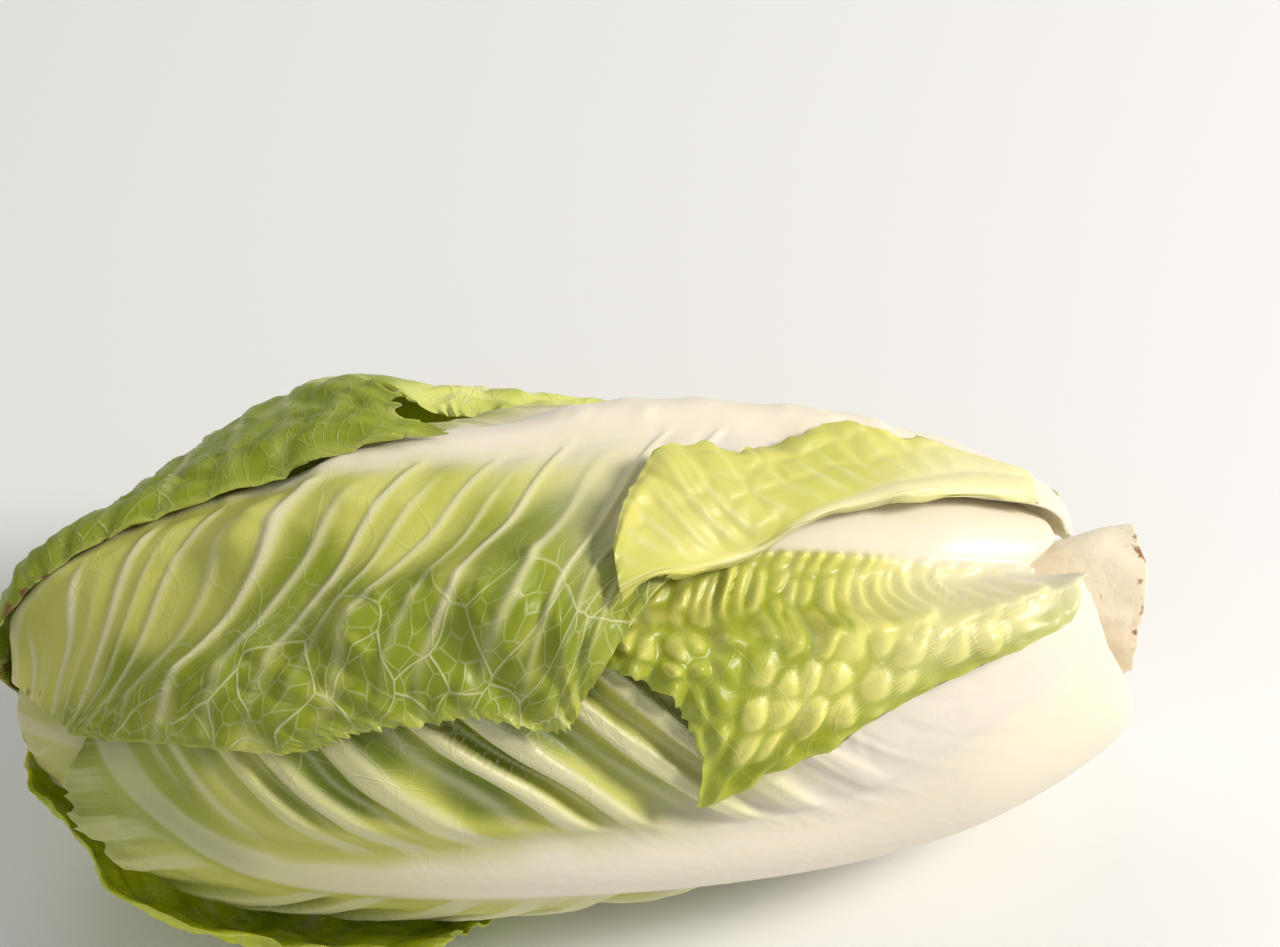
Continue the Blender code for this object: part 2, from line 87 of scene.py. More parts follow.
# A leaf's thickness, and how closely leaves lie on one another.
BLADE = 0.75 * MM
RIM = 0.4 * MM
AIR = 0.4 * MM
STEM_AIR = 0.6 * MM
REACH = 3.6 * MM
FIRM_REACH = 2.4 * MM
SMOOTHINGS = 3
POOL = 2  # fine corners on a side that one stored corner stands for
WRAP_SHARE = 0.18  # share of the length along which a leaf's base wraps the stem
SWELL_SHARE = 0.015  # share of the length over which the swelling of a base rises
SWELL_FADE = 0.22  # and over which it fades
SWELL_WIDTH = 1.0
WARP = 3.5  # how far the net of veins strays from straight lines, in millimetres
WARP_LENGTH = 6.0
SHARP = math.radians(82)  # faces that meet at a larger angle keep their edge

# How a leaf curves and stands off, in shares of its length and half width.
SWEEP_LATENESS = 1.6  # the larger, the nearer the tip its margin sweeps forward most
MARGIN_GROWTH = 1.3  # power of the distance from the midrib with which margins sweep, flare and curl
RIB_LOSS = (0.85, 0.9)  # share of its thickness that a midrib loses to the tip, and the power
RIB_NARROWING = (0.9, 0.55)  # the same for its width
RIB_RISE = (0.3, 0.12)  # share of its thickness at the base, and the length over which it rises
RIB_FOOT = (1.35, 1.2)  # where the midrib's swelling ends, in its half widths, and its roundness
RIM_RATE = 8
PUFF_STRETCH = 1.25  # puff starts at a fifth of the length
FLARE_AT = (0.82, 0.2)  # where a margin flares most, and over what length
CURL_AT = (0.6, 0.09)
TIP_START = 0.7
TUCKED = 0.8  # where the margin begins to lie closer
LOBED = 0.7  # and to take part in lobes
TOOTHED = 0.93  # and in teeth

# Shares of the length at which widths and courses are given, and widths that several leaves have.
STATIONS = (0.0, 0.12, 0.26, 0.40, 0.54, 0.67, 0.79, 0.90, 1.0)
COMMON_WIDTHS = (14, 19, 31, 44, 52, 51, 43, 29, 6)
REAR_WIDTHS = (14, 19, 29, 38, 43, 43, 37, 26, 10)
STRAIGHT = (0,) * len(STATIONS)

# The inner leaves, from the middle of the head outwards: pairs are for the first and the last.
GOLDEN_ANGLE = 137.5
FIRST_TURN = 205
INNER_LEAVES = 8
INNER_LEVELS = (0.17, 0.5)
INNER_BASES = (125, 140)
INNER_TIPS = (40, 16)
INNER_WIDTHS = (28, 34, 42, 49, 53, 53, 47, 37, 21)
LEAST_LEVEL = 0.2


def step(low: float, high: float, value: Array) -> Array:
    """A smooth step from 0 at low to 1 at high."""
    t = np.clip((value - low) / (high - low), 0, 1)
    return t * t * (3 - 2 * t)


def hashed(i: Array, j: Array, seed: int) -> Array:
    """A number from 0 to 1 for each pair of whole numbers.

    Args:
        i: First whole numbers.
        j: Second whole numbers.
        seed: Which set of numbers to give.

    Returns:
        The numbers, the same on every run.
    """
    mixed = (i.astype(np.int64) * 374761393 + j.astype(np.int64) * 668265263 + seed * 974711) & 0xFFFFFFFF
    mixed = ((mixed ^ (mixed >> 13)) * 1274126177) & 0xFFFFFFFF
    return ((mixed ^ (mixed >> 16)) & 0xFFFF) / 65535.0


def noise(u: Array, v: Array, seed: int) -> Array:
    """Smooth noise with features one unit wide.

    Args:
        u: First coordinates.
        v: Second coordinates.
        seed: Which noise to give.

    Returns:
        Values from 0 to 1.
    """
    i, j = np.floor(u), np.floor(v)
    a, b = u - i, v - j
    a, b = a * a * (3 - 2 * a), b * b * (3 - 2 * b)
    low = hashed(i, j, seed) * (1 - a) + hashed(i + 1, j, seed) * a
    high = hashed(i, j + 1, seed) * (1 - a) + hashed(i + 1, j + 1, seed) * a
    return low * (1 - b) + high * b


def cells(u: Array, v: Array, seed: int) -> tuple[Array, Array, Array]:
    """Finds the scattered points, one to each unit square, that are nearest to each place.

    Args:
        u: First coordinates.
        v: Second coordinates.
        seed: Which set of points to use.

    Returns:
        Distances to the nearest and second nearest point, and a number from 0 to 1 of the nearest one's own.
    """
    i, j = np.floor(u), np.floor(v)
    first = np.full(u.shape, 9.0)
    second, own = first.copy(), first.copy()
    for di in (-1, 0, 1):
        for dj in (-1, 0, 1):
            x = i + di + 0.15 + 0.7 * hashed(i + di, j + dj, seed)
            y = j + dj + 0.15 + 0.7 * hashed(i + di, j + dj, seed + 1)
            away = np.hypot(u - x, v - y)
            second = np.minimum(second, np.maximum(first, away))
            own = np.where(away < first, hashed(i + di, j + dj, seed + 2), own)
            first = np.minimum(first, away)
    return first, second, own


def smooth_through(values: Row, where: Array) -> Array:
    """Reads a smooth curve through values that are given at the stations along a leaf.

    Args:
        values: A value for each of STATIONS.
        where: Shares of the length to read it at.

    Returns:
        The curve's values there.
    """
    stations, heights = np.asarray(STATIONS), np.asarray(values, float)
    slopes = np.gradient(heights, stations)
    index = np.clip(np.searchsorted(stations, where, side="right") - 1, 0, len(stations) - 2)
    width = stations[index + 1] - stations[index]
    t = (where - stations[index]) / width
    return (
        heights[index] * (1 + 2 * t) * (1 - t) ** 2
        + slopes[index] * width * t * (1 - t) ** 2
        + heights[index + 1] * t**2 * (3 - 2 * t)
        + slopes[index + 1] * width * t**2 * (t - 1)
    )


def refining(count: int, finer: int) -> Array:
    """Works out how evenly spaced values are read at finer places, by a smooth curve through them.

    Args:
        count: How many values there are.
        finer: At how many places they are read.

    Returns:
        The matrix that turns the values into the finer ones.
    """
    where = np.linspace(0, count - 1, finer)
    index = np.minimum(where.astype(int), count - 2)
    t = where - index
    weights = (
        -0.5 * t + t**2 - 0.5 * t**3,
        1 - 2.5 * t**2 + 1.5 * t**3,
        0.5 * t + 2 * t**2 - 1.5 * t**3,
        -0.5 * t**2 + 0.5 * t**3,
    )
    matrix = np.zeros((finer, count))
    for offset, weight in zip((-1, 0, 1, 2), weights):
        np.add.at(matrix, (np.arange(finer), np.clip(index + offset, 0, count - 1)), weight)
    return matrix


def direction(along: Array, across: Array, turn: Array) -> Array:
    """Works out in which directions from the head's middle parts of a leaf lie.

    Args:
        along: Angles along the leaf from the head's tip.
        across: Angles across it from its midrib.
        turn: How far round the head the midrib is.

    Returns:
        Unit vectors.
    """
    outward = np.cos(across) * np.sin(along)
    sideways = np.sin(across)
    return np.stack(
        [
            -np.cos(across) * np.cos(along),
            -outward * np.cos(turn) + sideways * np.sin(turn),
            outward * np.sin(turn) + sideways * np.cos(turn),
        ],
        axis=-1,
    )


def point(directions: Array, levels: Array) -> Array:
    """Places points of the head.

    Args:
        directions: Unit vectors, as direction gives them.
        levels: Level of each point.

    Returns:
        The points, with the middle of the head as origin.
    """
    points = directions * levels[..., None]
    points[..., 0] += SPINE * directions[..., 0]
    return points


def head_level(directions: Array) -> Array:
    """Works out the level of the head's own outside, flattened underneath.

    Args:
        directions: Unit vectors.

    Returns:
        The level in each direction.
    """
    own = GIRTH * (1 - FULLER_TIP * directions[..., 0])
    flat = FLAT_UNDER / np.maximum(-directions[..., 2], LEAST_DOWN)
    return (own**-FLATTENING + flat**-FLATTENING) ** (-1 / FLATTENING)


def stem_radius(x: Array) -> Array:
    """Radius of the stem at that distance along X, without its scars."""
    return BUTT_RADIUS * np.clip((x - STEM_TIP) / (BUTT_END - STEM_TIP), 0, 1) ** STEM_TAPER


def stem_level(directions: Array) -> Array:
    """Works out the level at which a ray leaves the stem.

    Args:
        directions: Unit vectors.

    Returns:
        The level in each direction, or 0 where a ray misses the stem.
    """
    trial = np.linspace(0, LONGEST_RAY, 160)
    angle = np.linspace(0, math.pi, 181)
    x = -(SPINE + trial) * np.cos(angle)[:, None]
    inside = (trial * np.sin(angle)[:, None] < stem_radius(x) * SCAR_ROOM) & (x < BUTT_END) & (x > STEM_TIP)
    leaves_at = np.where(inside, trial, 0).max(axis=1)
    return np.interp(np.arccos(np.clip(-directions[..., 0], -1, 1)), angle, leaves_at)


def arc_table() -> tuple[Array, Array]:
    """Measures the head's outside along a leaf.

    Returns:
        Angles from the head's tip, and the distance from the tip along the outside at each.
    """
    angles = np.radians(np.linspace(-40, 180, 441))
    steps = np.hypot((SPINE + GIRTH) * np.sin(angles), GIRTH * np.cos(angles))
    lengths = np.concatenate([[0], np.cumsum((steps[1:] + steps[:-1]) / 2 * np.diff(angles))])
    return angles, lengths - np.interp(0, angles, lengths)


ARC_ANGLES, ARC_LENGTHS = arc_table()


class Flow:
    """A shader socket that adds nodes as it is combined with numbers, colours and other sockets."""

    def __init__(self, tree: bpy.types.NodeTree, socket: bpy.types.NodeSocket) -> None:
        """Wraps an output socket of that tree."""
        self.tree = tree
        self.socket = socket

    @staticmethod
    def put(tree: bpy.types.NodeTree, target: bpy.types.NodeSocket, value: Any) -> None:
        """Links a flow into a socket, or sets a plain value on it.

        Args:
            tree: The tree of the socket.
            target: The input socket.
            value: The flow or value.
        """
        if isinstance(value, Flow):
            tree.links.new(value.socket, target)
        elif isinstance(value, tuple) and target.type == "RGBA":
            target.default_value = (*value[:3], 1.0)
        else:
            target.default_value = value

    @classmethod
    def node(
        cls,
        tree: bpy.types.NodeTree,
        kind: str,
        settings: dict[str, Any],
        inputs: dict[Any, Any],
        output: Any = 0,
    ) -> "Flow":
        """Adds any node.

        Args:
            tree: The tree to add it to.
            kind: The node's type.
            settings: Its properties, set first.
            inputs: Values or flows by the input's name or index.
            output: The name or index of the output to return.

        Returns:
            The flow from that output.
        """
        made = tree.nodes.new(kind)
        for name, value in settings.items():
            setattr(made, name, value)
        for name, value in inputs.items():
            cls.put(tree, made.inputs[name], value)
        return cls(tree, made.outputs[output])

    def _math(self, operation: str, first: Any, second: Any) -> "Flow":
        """Combines two operands with a Math node, or a Vector Math node where this flow is a vector.

        Args:
            operation: The node's operation.
            first: First operand.
            second: Second operand.

        Returns:
            The flow of the result.
        """
        vector = self.socket.type in ("VECTOR", "RGBA")
        kind = "ShaderNodeVectorMath" if vector else "ShaderNodeMath"
        values = []
        for value in (first, second):
            plain = isinstance(value, (int, float))
            values.append((value,) * 3 if plain and vector else value)
        return Flow.node(self.tree, kind, {"operation": operation}, dict(enumerate(values)))

    def __add__(self, other: Any) -> "Flow":
        """This plus other."""
        return self._math("ADD", self, other)

    def __radd__(self, other: Any) -> "Flow":
        """Other plus this."""
        return self._math("ADD", other, self)

    def __sub__(self, other: Any) -> "Flow":
        """This minus other."""
        return self._math("SUBTRACT", self, other)

    def __rsub__(self, other: Any) -> "Flow":
        """Other minus this."""
        return self._math("SUBTRACT", other, self)

    def __mul__(self, other: Any) -> "Flow":
        """This times other."""
        return self._math("MULTIPLY", self, other)

    def __rmul__(self, other: Any) -> "Flow":
        """Other times this."""
        return self._math("MULTIPLY", other, self)

    def larger(self, other: Any) -> "Flow":
        """The larger of this and other."""
        return self._math("MAXIMUM", self, other)

    def ramp(self, low: float, high: float, start: float = 0.0, end: float = 1.0) -> "Flow":
        """A smooth step of this from start at low to end at high."""
        values = {"Value": self, "From Min": low, "From Max": high, "To Min": start, "To Max": end}
        return Flow.node(self.tree, "ShaderNodeMapRange", {"interpolation_type": "SMOOTHSTEP"}, values)

    def blend(self, first: Any, second: Any) -> "Flow":
        """Two colours mixed by this: the first at 0 and the second at 1."""
        inputs = {0: self, 6: first, 7: second}
        return Flow.node(self.tree, "ShaderNodeMix", {"data_type": "RGBA"}, inputs, 2)


GRAIN_SCALE = 380.0  # grains to a metre


def new_material(name: str) -> tuple[bpy.types.Material, bpy.types.NodeTree, bpy.types.ShaderNode]:
    """Adds a material.

    Args:
        name: Its name.

    Returns:
        The material, its tree and its main shader.
    """
    material = bpy.data.materials.new(name)
    material.use_nodes = True
    return material, material.node_tree, material.node_tree.nodes["Principled BSDF"]


def set_plain(shader: bpy.types.ShaderNode, values: dict[str, Any]) -> None:
    """Sets sockets of the shader that are the same all over."""
    for name, value in values.items():
        shader.inputs[name].default_value = value


class Bump(Enum):
    """How strongly a surface's fine veins stand out."""

    FAINT = 0.2
    FIRM = 0.38


@dataclass(frozen=True)
class LeafFinish:
    """The colours and gloss of a leaf."""

    name: str
    light: Colour
    deep: Colour
    ivory: Colour = (0.87, 0.80, 0.65)
    vein: Colour = (0.60, 0.62, 0.28)
    rim: Colour = (0.50, 0.55, 0.10)
    rib: Colour = (0.72, 0.70, 0.40)
    brown: Colour = (0.24, 0.12, 0.04)
    roughness: float = 0.42
    coat: float = 0.05
    veined: bool = True
    large_vein: float = 8.0  # size of the net's meshes, in millimetres
    small_vein: float = 2.8
    large_line: Pair = (0.004, 0.034)  # where a line begins to fade and has gone, in meshes
    small_line: Pair = (0.01, 0.08)
    small_share: float = 0.4  # strength of the small veins against the large ones
    vein_share: float = 0.75  # how far the veins' colour covers the blade's
    # How strongly the hollows deepen the colour: painted shade in furrows and seams, the blade's own deeper green
    # between narrow ribs.
    hollow_share: float = 0.85
    speckle: Pair = (0.42, 0.62)
    bump: Bump = Bump.FIRM
    translucency: float = 0.3
    scatter: Colour = (1.0, 1.1, 0.35)
    scatter_depth: float = 2.5 * MM

    def make(self) -> bpy.types.Material:
        """Builds the material, which reads the leaf's own attributes.

        Returns:
            The material.
        """
        material, tree, shader = new_material(self.name)

        def read(name: str, output: str = "Fac") -> Flow:
            """An attribute of the leaf."""
            return Flow.node(tree, "ShaderNodeAttribute", {"attribute_name": name}, {}, output)

        def edges(size: float) -> Flow:
            """Measures the distance from the lines of a net of veins.

            Args:
                size: Size of the net's meshes in millimetres.

            Returns:
                The distance, in meshes.
            """
            inputs = {"Vector": place, "Scale": 1 / (size * MM)}
            settings = {"voronoi_dimensions": "2D", "feature": "DISTANCE_TO_EDGE"}
            return Flow.node(tree, "ShaderNodeTexVoronoi", settings, inputs, "Distance")

        place = read("place", "Vector")
        rib, green, hollow = read("rib"), read("green"), read("hollow")
        fine = {"Vector": place, "Scale": GRAIN_SCALE, "Detail": 1.0}
        grain = Flow.node(tree, "ShaderNodeTexNoise", {"noise_dimensions": "2D"}, fine, "Fac")
        # The hollows deepen the colour: painted shade in furrows and in the seams between blisters, and the blade's
        # own deeper green between narrow ribs. The shade attribute adds painted shade towards the tip where a leaf has
        # it.
        depth = hollow * self.hollow_share + read("shade")
        lamina = depth.ramp(0.0, 0.85).blend(self.light, self.deep)
        relief = grain * 0.4
        if self.veined:
            net = read("net")
            large = edges(self.large_vein).ramp(*self.large_line, 1.0, 0.0)
            small = edges(self.small_vein).ramp(*self.small_line, 1.0, 0.0)
            veins = large.larger(small * self.small_share) * net
            lamina = (veins * self.vein_share).blend(lamina, self.vein)
            relief = relief + veins
        lamina = read("rim").blend(lamina, self.rim)
        colour = green.blend(self.ivory, lamina)
        colour = (rib * green).blend(colour, self.rib)
        speckle = (read("brown") + (grain - 0.5) * 0.9).ramp(*self.speckle)
        colour = speckle.blend(colour, self.brown)
        Flow.put(tree, shader.inputs["Base Color"], colour)
        gloss = grain.ramp(0.3, 0.7, self.roughness - 0.06, self.roughness + 0.08)
        Flow.put(tree, shader.inputs["Roughness"], gloss)
        bump = {"Height": relief, "Strength": self.bump.value, "Distance": 0.5 * MM}
        Flow.put(tree, shader.inputs["Normal"], Flow.node(tree, "ShaderNodeBump", {}, bump))
        plain = {
            "Specular IOR Level": 0.35,
            "Coat Weight": self.coat,
            "Coat Roughness": 0.22,
            "Subsurface Weight": self.translucency,
            "Subsurface Radius": self.scatter,
            "Subsurface Scale": self.scatter_depth,
        }
        set_plain(shader, plain)
        return material


@dataclass(frozen=True)
class StemFinish:
    """The colours of the cut stem."""

    name: str = "cut_stem"
    cream: Colour = (0.95, 0.84, 0.65)
    tan: Colour = (0.55, 0.38, 0.20)
    brown: Colour = (0.36, 0.19, 0.08)
    roughness: float = 0.5
    tan_scale: float = 110.0  # patches to a metre
    tan_patches: Pair = (0.74, 1.1)
    brown_scale: float = 260.0
    brown_spots: Pair = (0.70, 0.80)
    translucency: float = 0.3
    scatter: Colour = (1.0, 0.8, 0.5)
    scatter_depth: float = 3 * MM

    def make(self) -> bpy.types.Material:
        """Builds the material.

        Returns:
            The material.
        """
        material, tree, shader = new_material(self.name)
        place = Flow.node(tree, "ShaderNodeTexCoord", {}, {}, "Object")

        def mottle(scale: float) -> Flow:
            """Noise with that many features to a metre."""
            inputs = {"Vector": place, "Scale": scale, "Detail": 3.0}
            return Flow.node(tree, "ShaderNodeTexNoise", {}, inputs, "Fac")

        scar = Flow.node(tree, "ShaderNodeAttribute", {"attribute_name": "scar"}, {}, "Fac")
        colour = (mottle(self.tan_scale) + scar * 0.2).ramp(*self.tan_patches).blend(self.cream, self.tan)
        colour = (mottle(self.brown_scale) + scar * 0.12).ramp(*self.brown_spots).blend(colour, self.brown)
        Flow.put(tree, shader.inputs["Base Color"], colour)
        relief = mottle(300.0) + mottle(90.0) * 0.8
        bump = {"Height": relief, "Strength": 0.5, "Distance": 0.8 * MM}
        Flow.put(tree, shader.inputs["Normal"], Flow.node(tree, "ShaderNodeBump", {}, bump))
        plain = {
            "Roughness": self.roughness,
            "Subsurface Weight": self.translucency,
            "Subsurface Radius": self.scatter,
            "Subsurface Scale": self.scatter_depth,
        }
        set_plain(shader, plain)
        return material


@dataclass(frozen=True)
class FloorFinish:
    """The plain pale floor."""

    name: str = "pale_floor"
    colour: Colour = (0.86, 0.86, 0.86)
    roughness: float = 0.9

    def make(self) -> bpy.types.Material:
        """Builds the material.

        Returns:
            The material.
        """
        material, _, shader = new_material(self.name)
        plain = {"Base Color": (*self.colour, 1), "Roughness": self.roughness, "Specular IOR Level": 0.1}
        set_plain(shader, plain)
        return material


class Relief(Enum):
    """What a leaf's blade does between its side ribs."""

    RIDGED = "narrow raised ribs on a smooth blade"
    FURROWED = "broad ribs with deep hollows between them"
    BLISTERED = "long glossy blisters between sunken veins"
    SMOOTH = "hardly any relief"


@dataclass(frozen=True)
class Surface:
    """The relief of a leaf, in millimetres unless said otherwise."""

    relief: Relief = Relief.RIDGED
    ribs: int = 14  # side ribs on each side
    height: float = 1.2  # of the ribs, or of the blisters
    core: float = 1.7  # half width of a rib near the midrib
    sweep: float = 0.6  # how far the ribs lean towards the tip, as a share of the distance from the midrib
    start: float = 7.0  # how far they follow the midrib before they leave it
    blisters: float = 0.5  # height of small blisters near the margin
    blister_size: Pair = (7.0, 6.0)  # along the leaf and across it
    ruffle: float = 1.2  # height of the margin's waves
    ruffle_length: float = 17.0
    tooth: float = 1.0  # depth of the margin's teeth
    tooth_length: float = 4.2
    lobe: float = 1.8  # depth of the margin's lobes
    lobe_length: float = 16.0
    ivory_end: float = 0.35  # share of the length at which green starts on the blade
    ivory_across: float = 9.0  # how far from the midrib's edge the ivory fades
    net_start: float = 0.45  # share of the half width at which the net of veins starts
    brown_tip: float = 0.0  # how far the tip has browned
    margin_depth: float = 0.0  # how much deeper the colour is towards the margin
    painted_tip_shade: float = 0.0  # painted shade: how much deeper the colour is towards the tip


@dataclass(frozen=True)
class Leaf:
    """One leaf. Angles are in degrees and lengths in millimetres, as in the solid part."""

    name: str
    finish: LeafFinish
    slot: str
    turn: float  # of the midrib round the head: 0 towards the camera, 90 upwards
    base: float = 150  # angles of the midrib's ends from the head's tip
    tip: float = 12
    level: float = 0.8  # least level of the blade, as a share of the head's outside
    left: Row = COMMON_WIDTHS  # half widths at the stations, seen with the base nearest
    right: Row = COMMON_WIDTHS
    course: Row = STRAIGHT  # how far the midrib strays from its turn at the stations
    lead: float = 30  # how far the margins sweep towards the tip
    wrap: Pair = (60, 60)  # how far round the stem its base reaches to the left and right
    slant: float = 0  # how much further from the butt its left margin starts
    rib: float = 5.5  # thickness of the midrib at its base
    rib_width: float = 13
    least_rib: float = 1.2
    tuck: float = 1.2  # how much closer the margins lie
    puff: float = 0  # how far the left half bulges
    flare: float = 0  # how far the right margin stands off
    curl: float = 0  # how far the left margin curls up at one place
    lift: float = 0  # how far the whole leaf stands off halfway along
    tip_lift: float = 0
    belly: float = 0  # swelling of the base, and the share of the half width at which it is highest
    belly_side: float = 0
    rise: float = 0.18  # share of the length over which the blade rises from the stem
    rests: bool = False  # whether the head rests on it
    surface: Surface = field(default_factory=Surface)
    lines: int = 76  # lines across the leaf on which its place in the layers is worked out
    columns: int = 41
    finer: tuple[int, int] = (4, 3)  # fine lines and columns for each of those
    seed: int = 1

    def side_width(self, q: Array, f: Array) -> Array:
        """Half width of the leaf on the side of f, in metres."""
        return np.where(f < 0, smooth_through(self.left, q), smooth_through(self.right, q)) * MM

    def length(self) -> float:
        """Length of the midrib, in metres."""
        ends = np.interp(np.radians([self.base, self.tip]), ARC_ANGLES, ARC_LENGTHS)
        return float(abs(ends[0] - ends[1]))

    def directions(self, q: Array, f: Array) -> Array:
        """Works out in which directions from the head's middle places of the leaf lie.

        Args:
            q: Shares of the length, from 0 at the base to 1 at the tip.
            f: Shares across it, from -1 to 1.

        Returns:
            Unit vectors.
        """
        start, end = np.interp(np.radians([self.base, self.tip]), ARC_ANGLES, ARC_LENGTHS)
        start = start - self.slant * MM * np.clip(-f, 0, 1)
        middle = start + (end - start) * q
        swept = self.lead * MM * np.sin(np.pi * np.clip(q, 0, 1) ** SWEEP_LATENESS) * np.abs(f) ** MARGIN_GROWTH
        along = np.interp(middle - swept, ARC_LENGTHS, ARC_ANGLES)
        scale = max(self.level, LEAST_LEVEL) * GIRTH
        across = np.radians(smooth_through(self.course, q)) + f * self.side_width(q, f) / scale
        free = direction(along, across, np.full(q.shape, math.radians(self.turn)))
        round_stem = np.radians(self.turn + self.course[0] + np.where(f < 0, self.wrap[0], self.wrap[1]) * f)
        foot = direction(np.interp(start, ARC_LENGTHS, ARC_ANGLES), np.zeros(q.shape), round_stem)
        held = 1 - step(0.0, WRAP_SHARE, q)[..., None]
        mixed = foot * held + free * (1 - held)
        return mixed / np.linalg.norm(mixed, axis=-1, keepdims=True)

    def unrolled(self, q: Array, f: Array) -> tuple[Array, Array]:
        """Where the leaf's places lie on the unrolled head, in millimetres.

        Args:
            q: Shares along the leaf, the same all along each row.
            f: Shares across it.

        Returns:
            The distance from the base that the midrib has at the same length of the head, and the distance
            round the head from the midrib.
        """
        turn = math.radians(self.turn)

        def measured(places: Array) -> tuple[Array, Array, Array]:
            """Measures places along and round the head.

            Args:
                places: Points of the head.

            Returns:
                Length along the head, angle round it from the midrib and distance from its axis.
            """
            outward = -places[..., 1] * math.cos(turn) + places[..., 2] * math.sin(turn)
            sideways = places[..., 1] * math.sin(turn) + places[..., 2] * math.cos(turn)
            return places[..., 0], np.arctan2(sideways, outward), np.hypot(outward, sideways)

        middle = np.linspace(0, 1, 200)
        rib = self.directions(middle, np.zeros(200))
        rib_x, rib_round, _ = measured(point(rib, np.full(200, REFERENCE)))
        x, around, radius = measured(point(self.directions(q, f), np.full(q.shape, REFERENCE)))
        order = np.argsort(rib_x)
        along = np.interp(x, rib_x[order], middle[order] * self.length())
        return along / MM, radius * (around - np.interp(x, rib_x[order], rib_round[order])) / MM

    def rib_profile(self, q: Array) -> tuple[Array, Array]:
        """Works out the midrib's size along the leaf.

        Args:
            q: Shares of the length, from 0 at the base to 1 at the tip.

        Returns:
            Its thickness and half width in metres.
        """
        loss, loss_power = RIB_LOSS
        narrowing, narrowing_power = RIB_NARROWING
        at_base, rising = RIB_RISE
        swelling = (1 - loss * q**loss_power) * np.clip(at_base + q / rising, 0, 1)
        thick = BLADE + (self.rib * MM - BLADE) * swelling
        return thick, self.rib_width * MM * (1 - narrowing * q**narrowing_power) + self.least_rib * MM

    def thickness(self, q: Array, f: Array) -> Array:
        """Works out the leaf's thickness: a thin blade with the midrib's swelling along its middle.

        Args:
            q: Shares of the length, from 0 at the base to 1 at the tip.
            f: Shares across it, from -1 to 1.

        Returns:
            The thickness in metres.
        """
        thick, half = self.rib_profile(q)
        off = np.abs(f) * self.side_width(q, f) / half
        foot, roundness = RIB_FOOT
        swell = np.clip(1 - (off / foot) ** 2, 0, 1) ** roundness
        blade = RIM + (BLADE - RIM) * np.clip((1 - np.abs(f)) * RIM_RATE, 0, 1)
        return blade + (thick - BLADE) * swell

    def stand_off(self, q: Array, f: Array) -> Array:
        """Works out how far the leaf stands off what it lies on, as puff, flare, curl, lift and the others say.

        Args:
            q: Shares of the length, from 0 at the base to 1 at the tip.
            f: Shares across it, from -1 to 1.

        Returns:
            The distance in metres.
        """

        def bell(value: Array, middle: float, spread: float) -> Array:
            """A smooth bell of height 1."""
            return np.exp(-(((value - middle) / spread) ** 2))

        left, right = np.clip(-f, 0, 1), np.clip(f, 0, 1)
        puffed = np.clip(np.sin(np.pi * np.clip((q - 1) * PUFF_STRETCH + 1, 0, 1)), 0, 1)
        puffed = self.puff * puffed * np.clip(np.sin(np.pi * left), 0, 1)
        flared = self.flare * bell(q, *FLARE_AT) * right**MARGIN_GROWTH
        flared = flared + self.curl * bell(q, *CURL_AT) * left**MARGIN_GROWTH
        lifted = self.tip_lift * np.clip((q - TIP_START) / (1 - TIP_START), 0, 1) ** 2 + self.lift * np.sin(np.pi * q)
        swelling = (1 - np.exp(-q / SWELL_SHARE)) * np.exp(-((q / SWELL_FADE) ** 2))
        swollen = self.belly * swelling * bell(f, self.belly_side, SWELL_WIDTH)
        tucked = self.tuck * step(TUCKED, 1.0, np.abs(f)) * step(0.1, 0.3, q)
        return (puffed + flared + lifted + swollen - tucked) * MM

    def drawn(self, q: Array, f: Array) -> Array:
        """Draws the margin's lobes and teeth out or in.

        Args:
            q: Shares of the length, from 0 at the base to 1 at the tip.
            f: Shares across it, from -1 to 1.

        Returns:
            The shares across the leaf after that.
        """
        surface = self.surface
        s = q * self.length() / MM
        side = np.where(f < 0, 31, 57) + self.seed
        lobes = noise(s / surface.lobe_length + side, side * 0.7, self.seed) - 0.5
        teeth = np.abs(((s / surface.tooth_length + 2.2 * noise(s / 9, side * 1.0, 5)) % 1.0) - 0.35) - 0.3
        uneven = 0.1 + 1.5 * noise(s / 6, side * 1.3, 8)
        out = 2 * surface.lobe * lobes * step(LOBED, 1.0, np.abs(f))
        out = out + 2 * surface.tooth * teeth * uneven * step(TOOTHED, 1.0, np.abs(f))
        out = out * step(0.05, 0.2, q) * (1 - 0.5 * step(0.93, 1.0, q))
        return f * (1 + out / np.maximum(self.side_width(q, f) / MM, 4))

    def relief(self, q: Array, f: Array) -> dict[str, Array]:
        """Works out the outward relief and what the finish reads.

        Args:
            q: Shares along the leaf.
            f: Shares across it.

        Returns:
            The height of the relief in metres under "height", and each attribute of the finish by its name.
        """
        return Blade(self, q, f).facts()


@dataclass(frozen=True)
class Meander:
    """One wandering of the side ribs from their even course. Lengths are in millimetres."""

    along: float
    across: float
    share: float  # of the distance from rib to rib
    near: float  # distance from the midrib at which it sets in
    full: float  # and at which it is full
    seed: int


@dataclass(frozen=True)
class SideRib:
    """A side rib's place within one spacing, and its strength."""

    place: float
    strength: float


MEANDERS = (
    Meander(along=30, across=19, share=0.5, near=2, full=18, seed=0),
    Meander(along=9, across=9, share=0.16, near=6, full=25, seed=3),
)
SIDE_RIBS = (SideRib(0.0, 1.0), SideRib(1.0, 1.0), SideRib(0.5, 0.5))
Shape = tuple[Array, Array, Array]


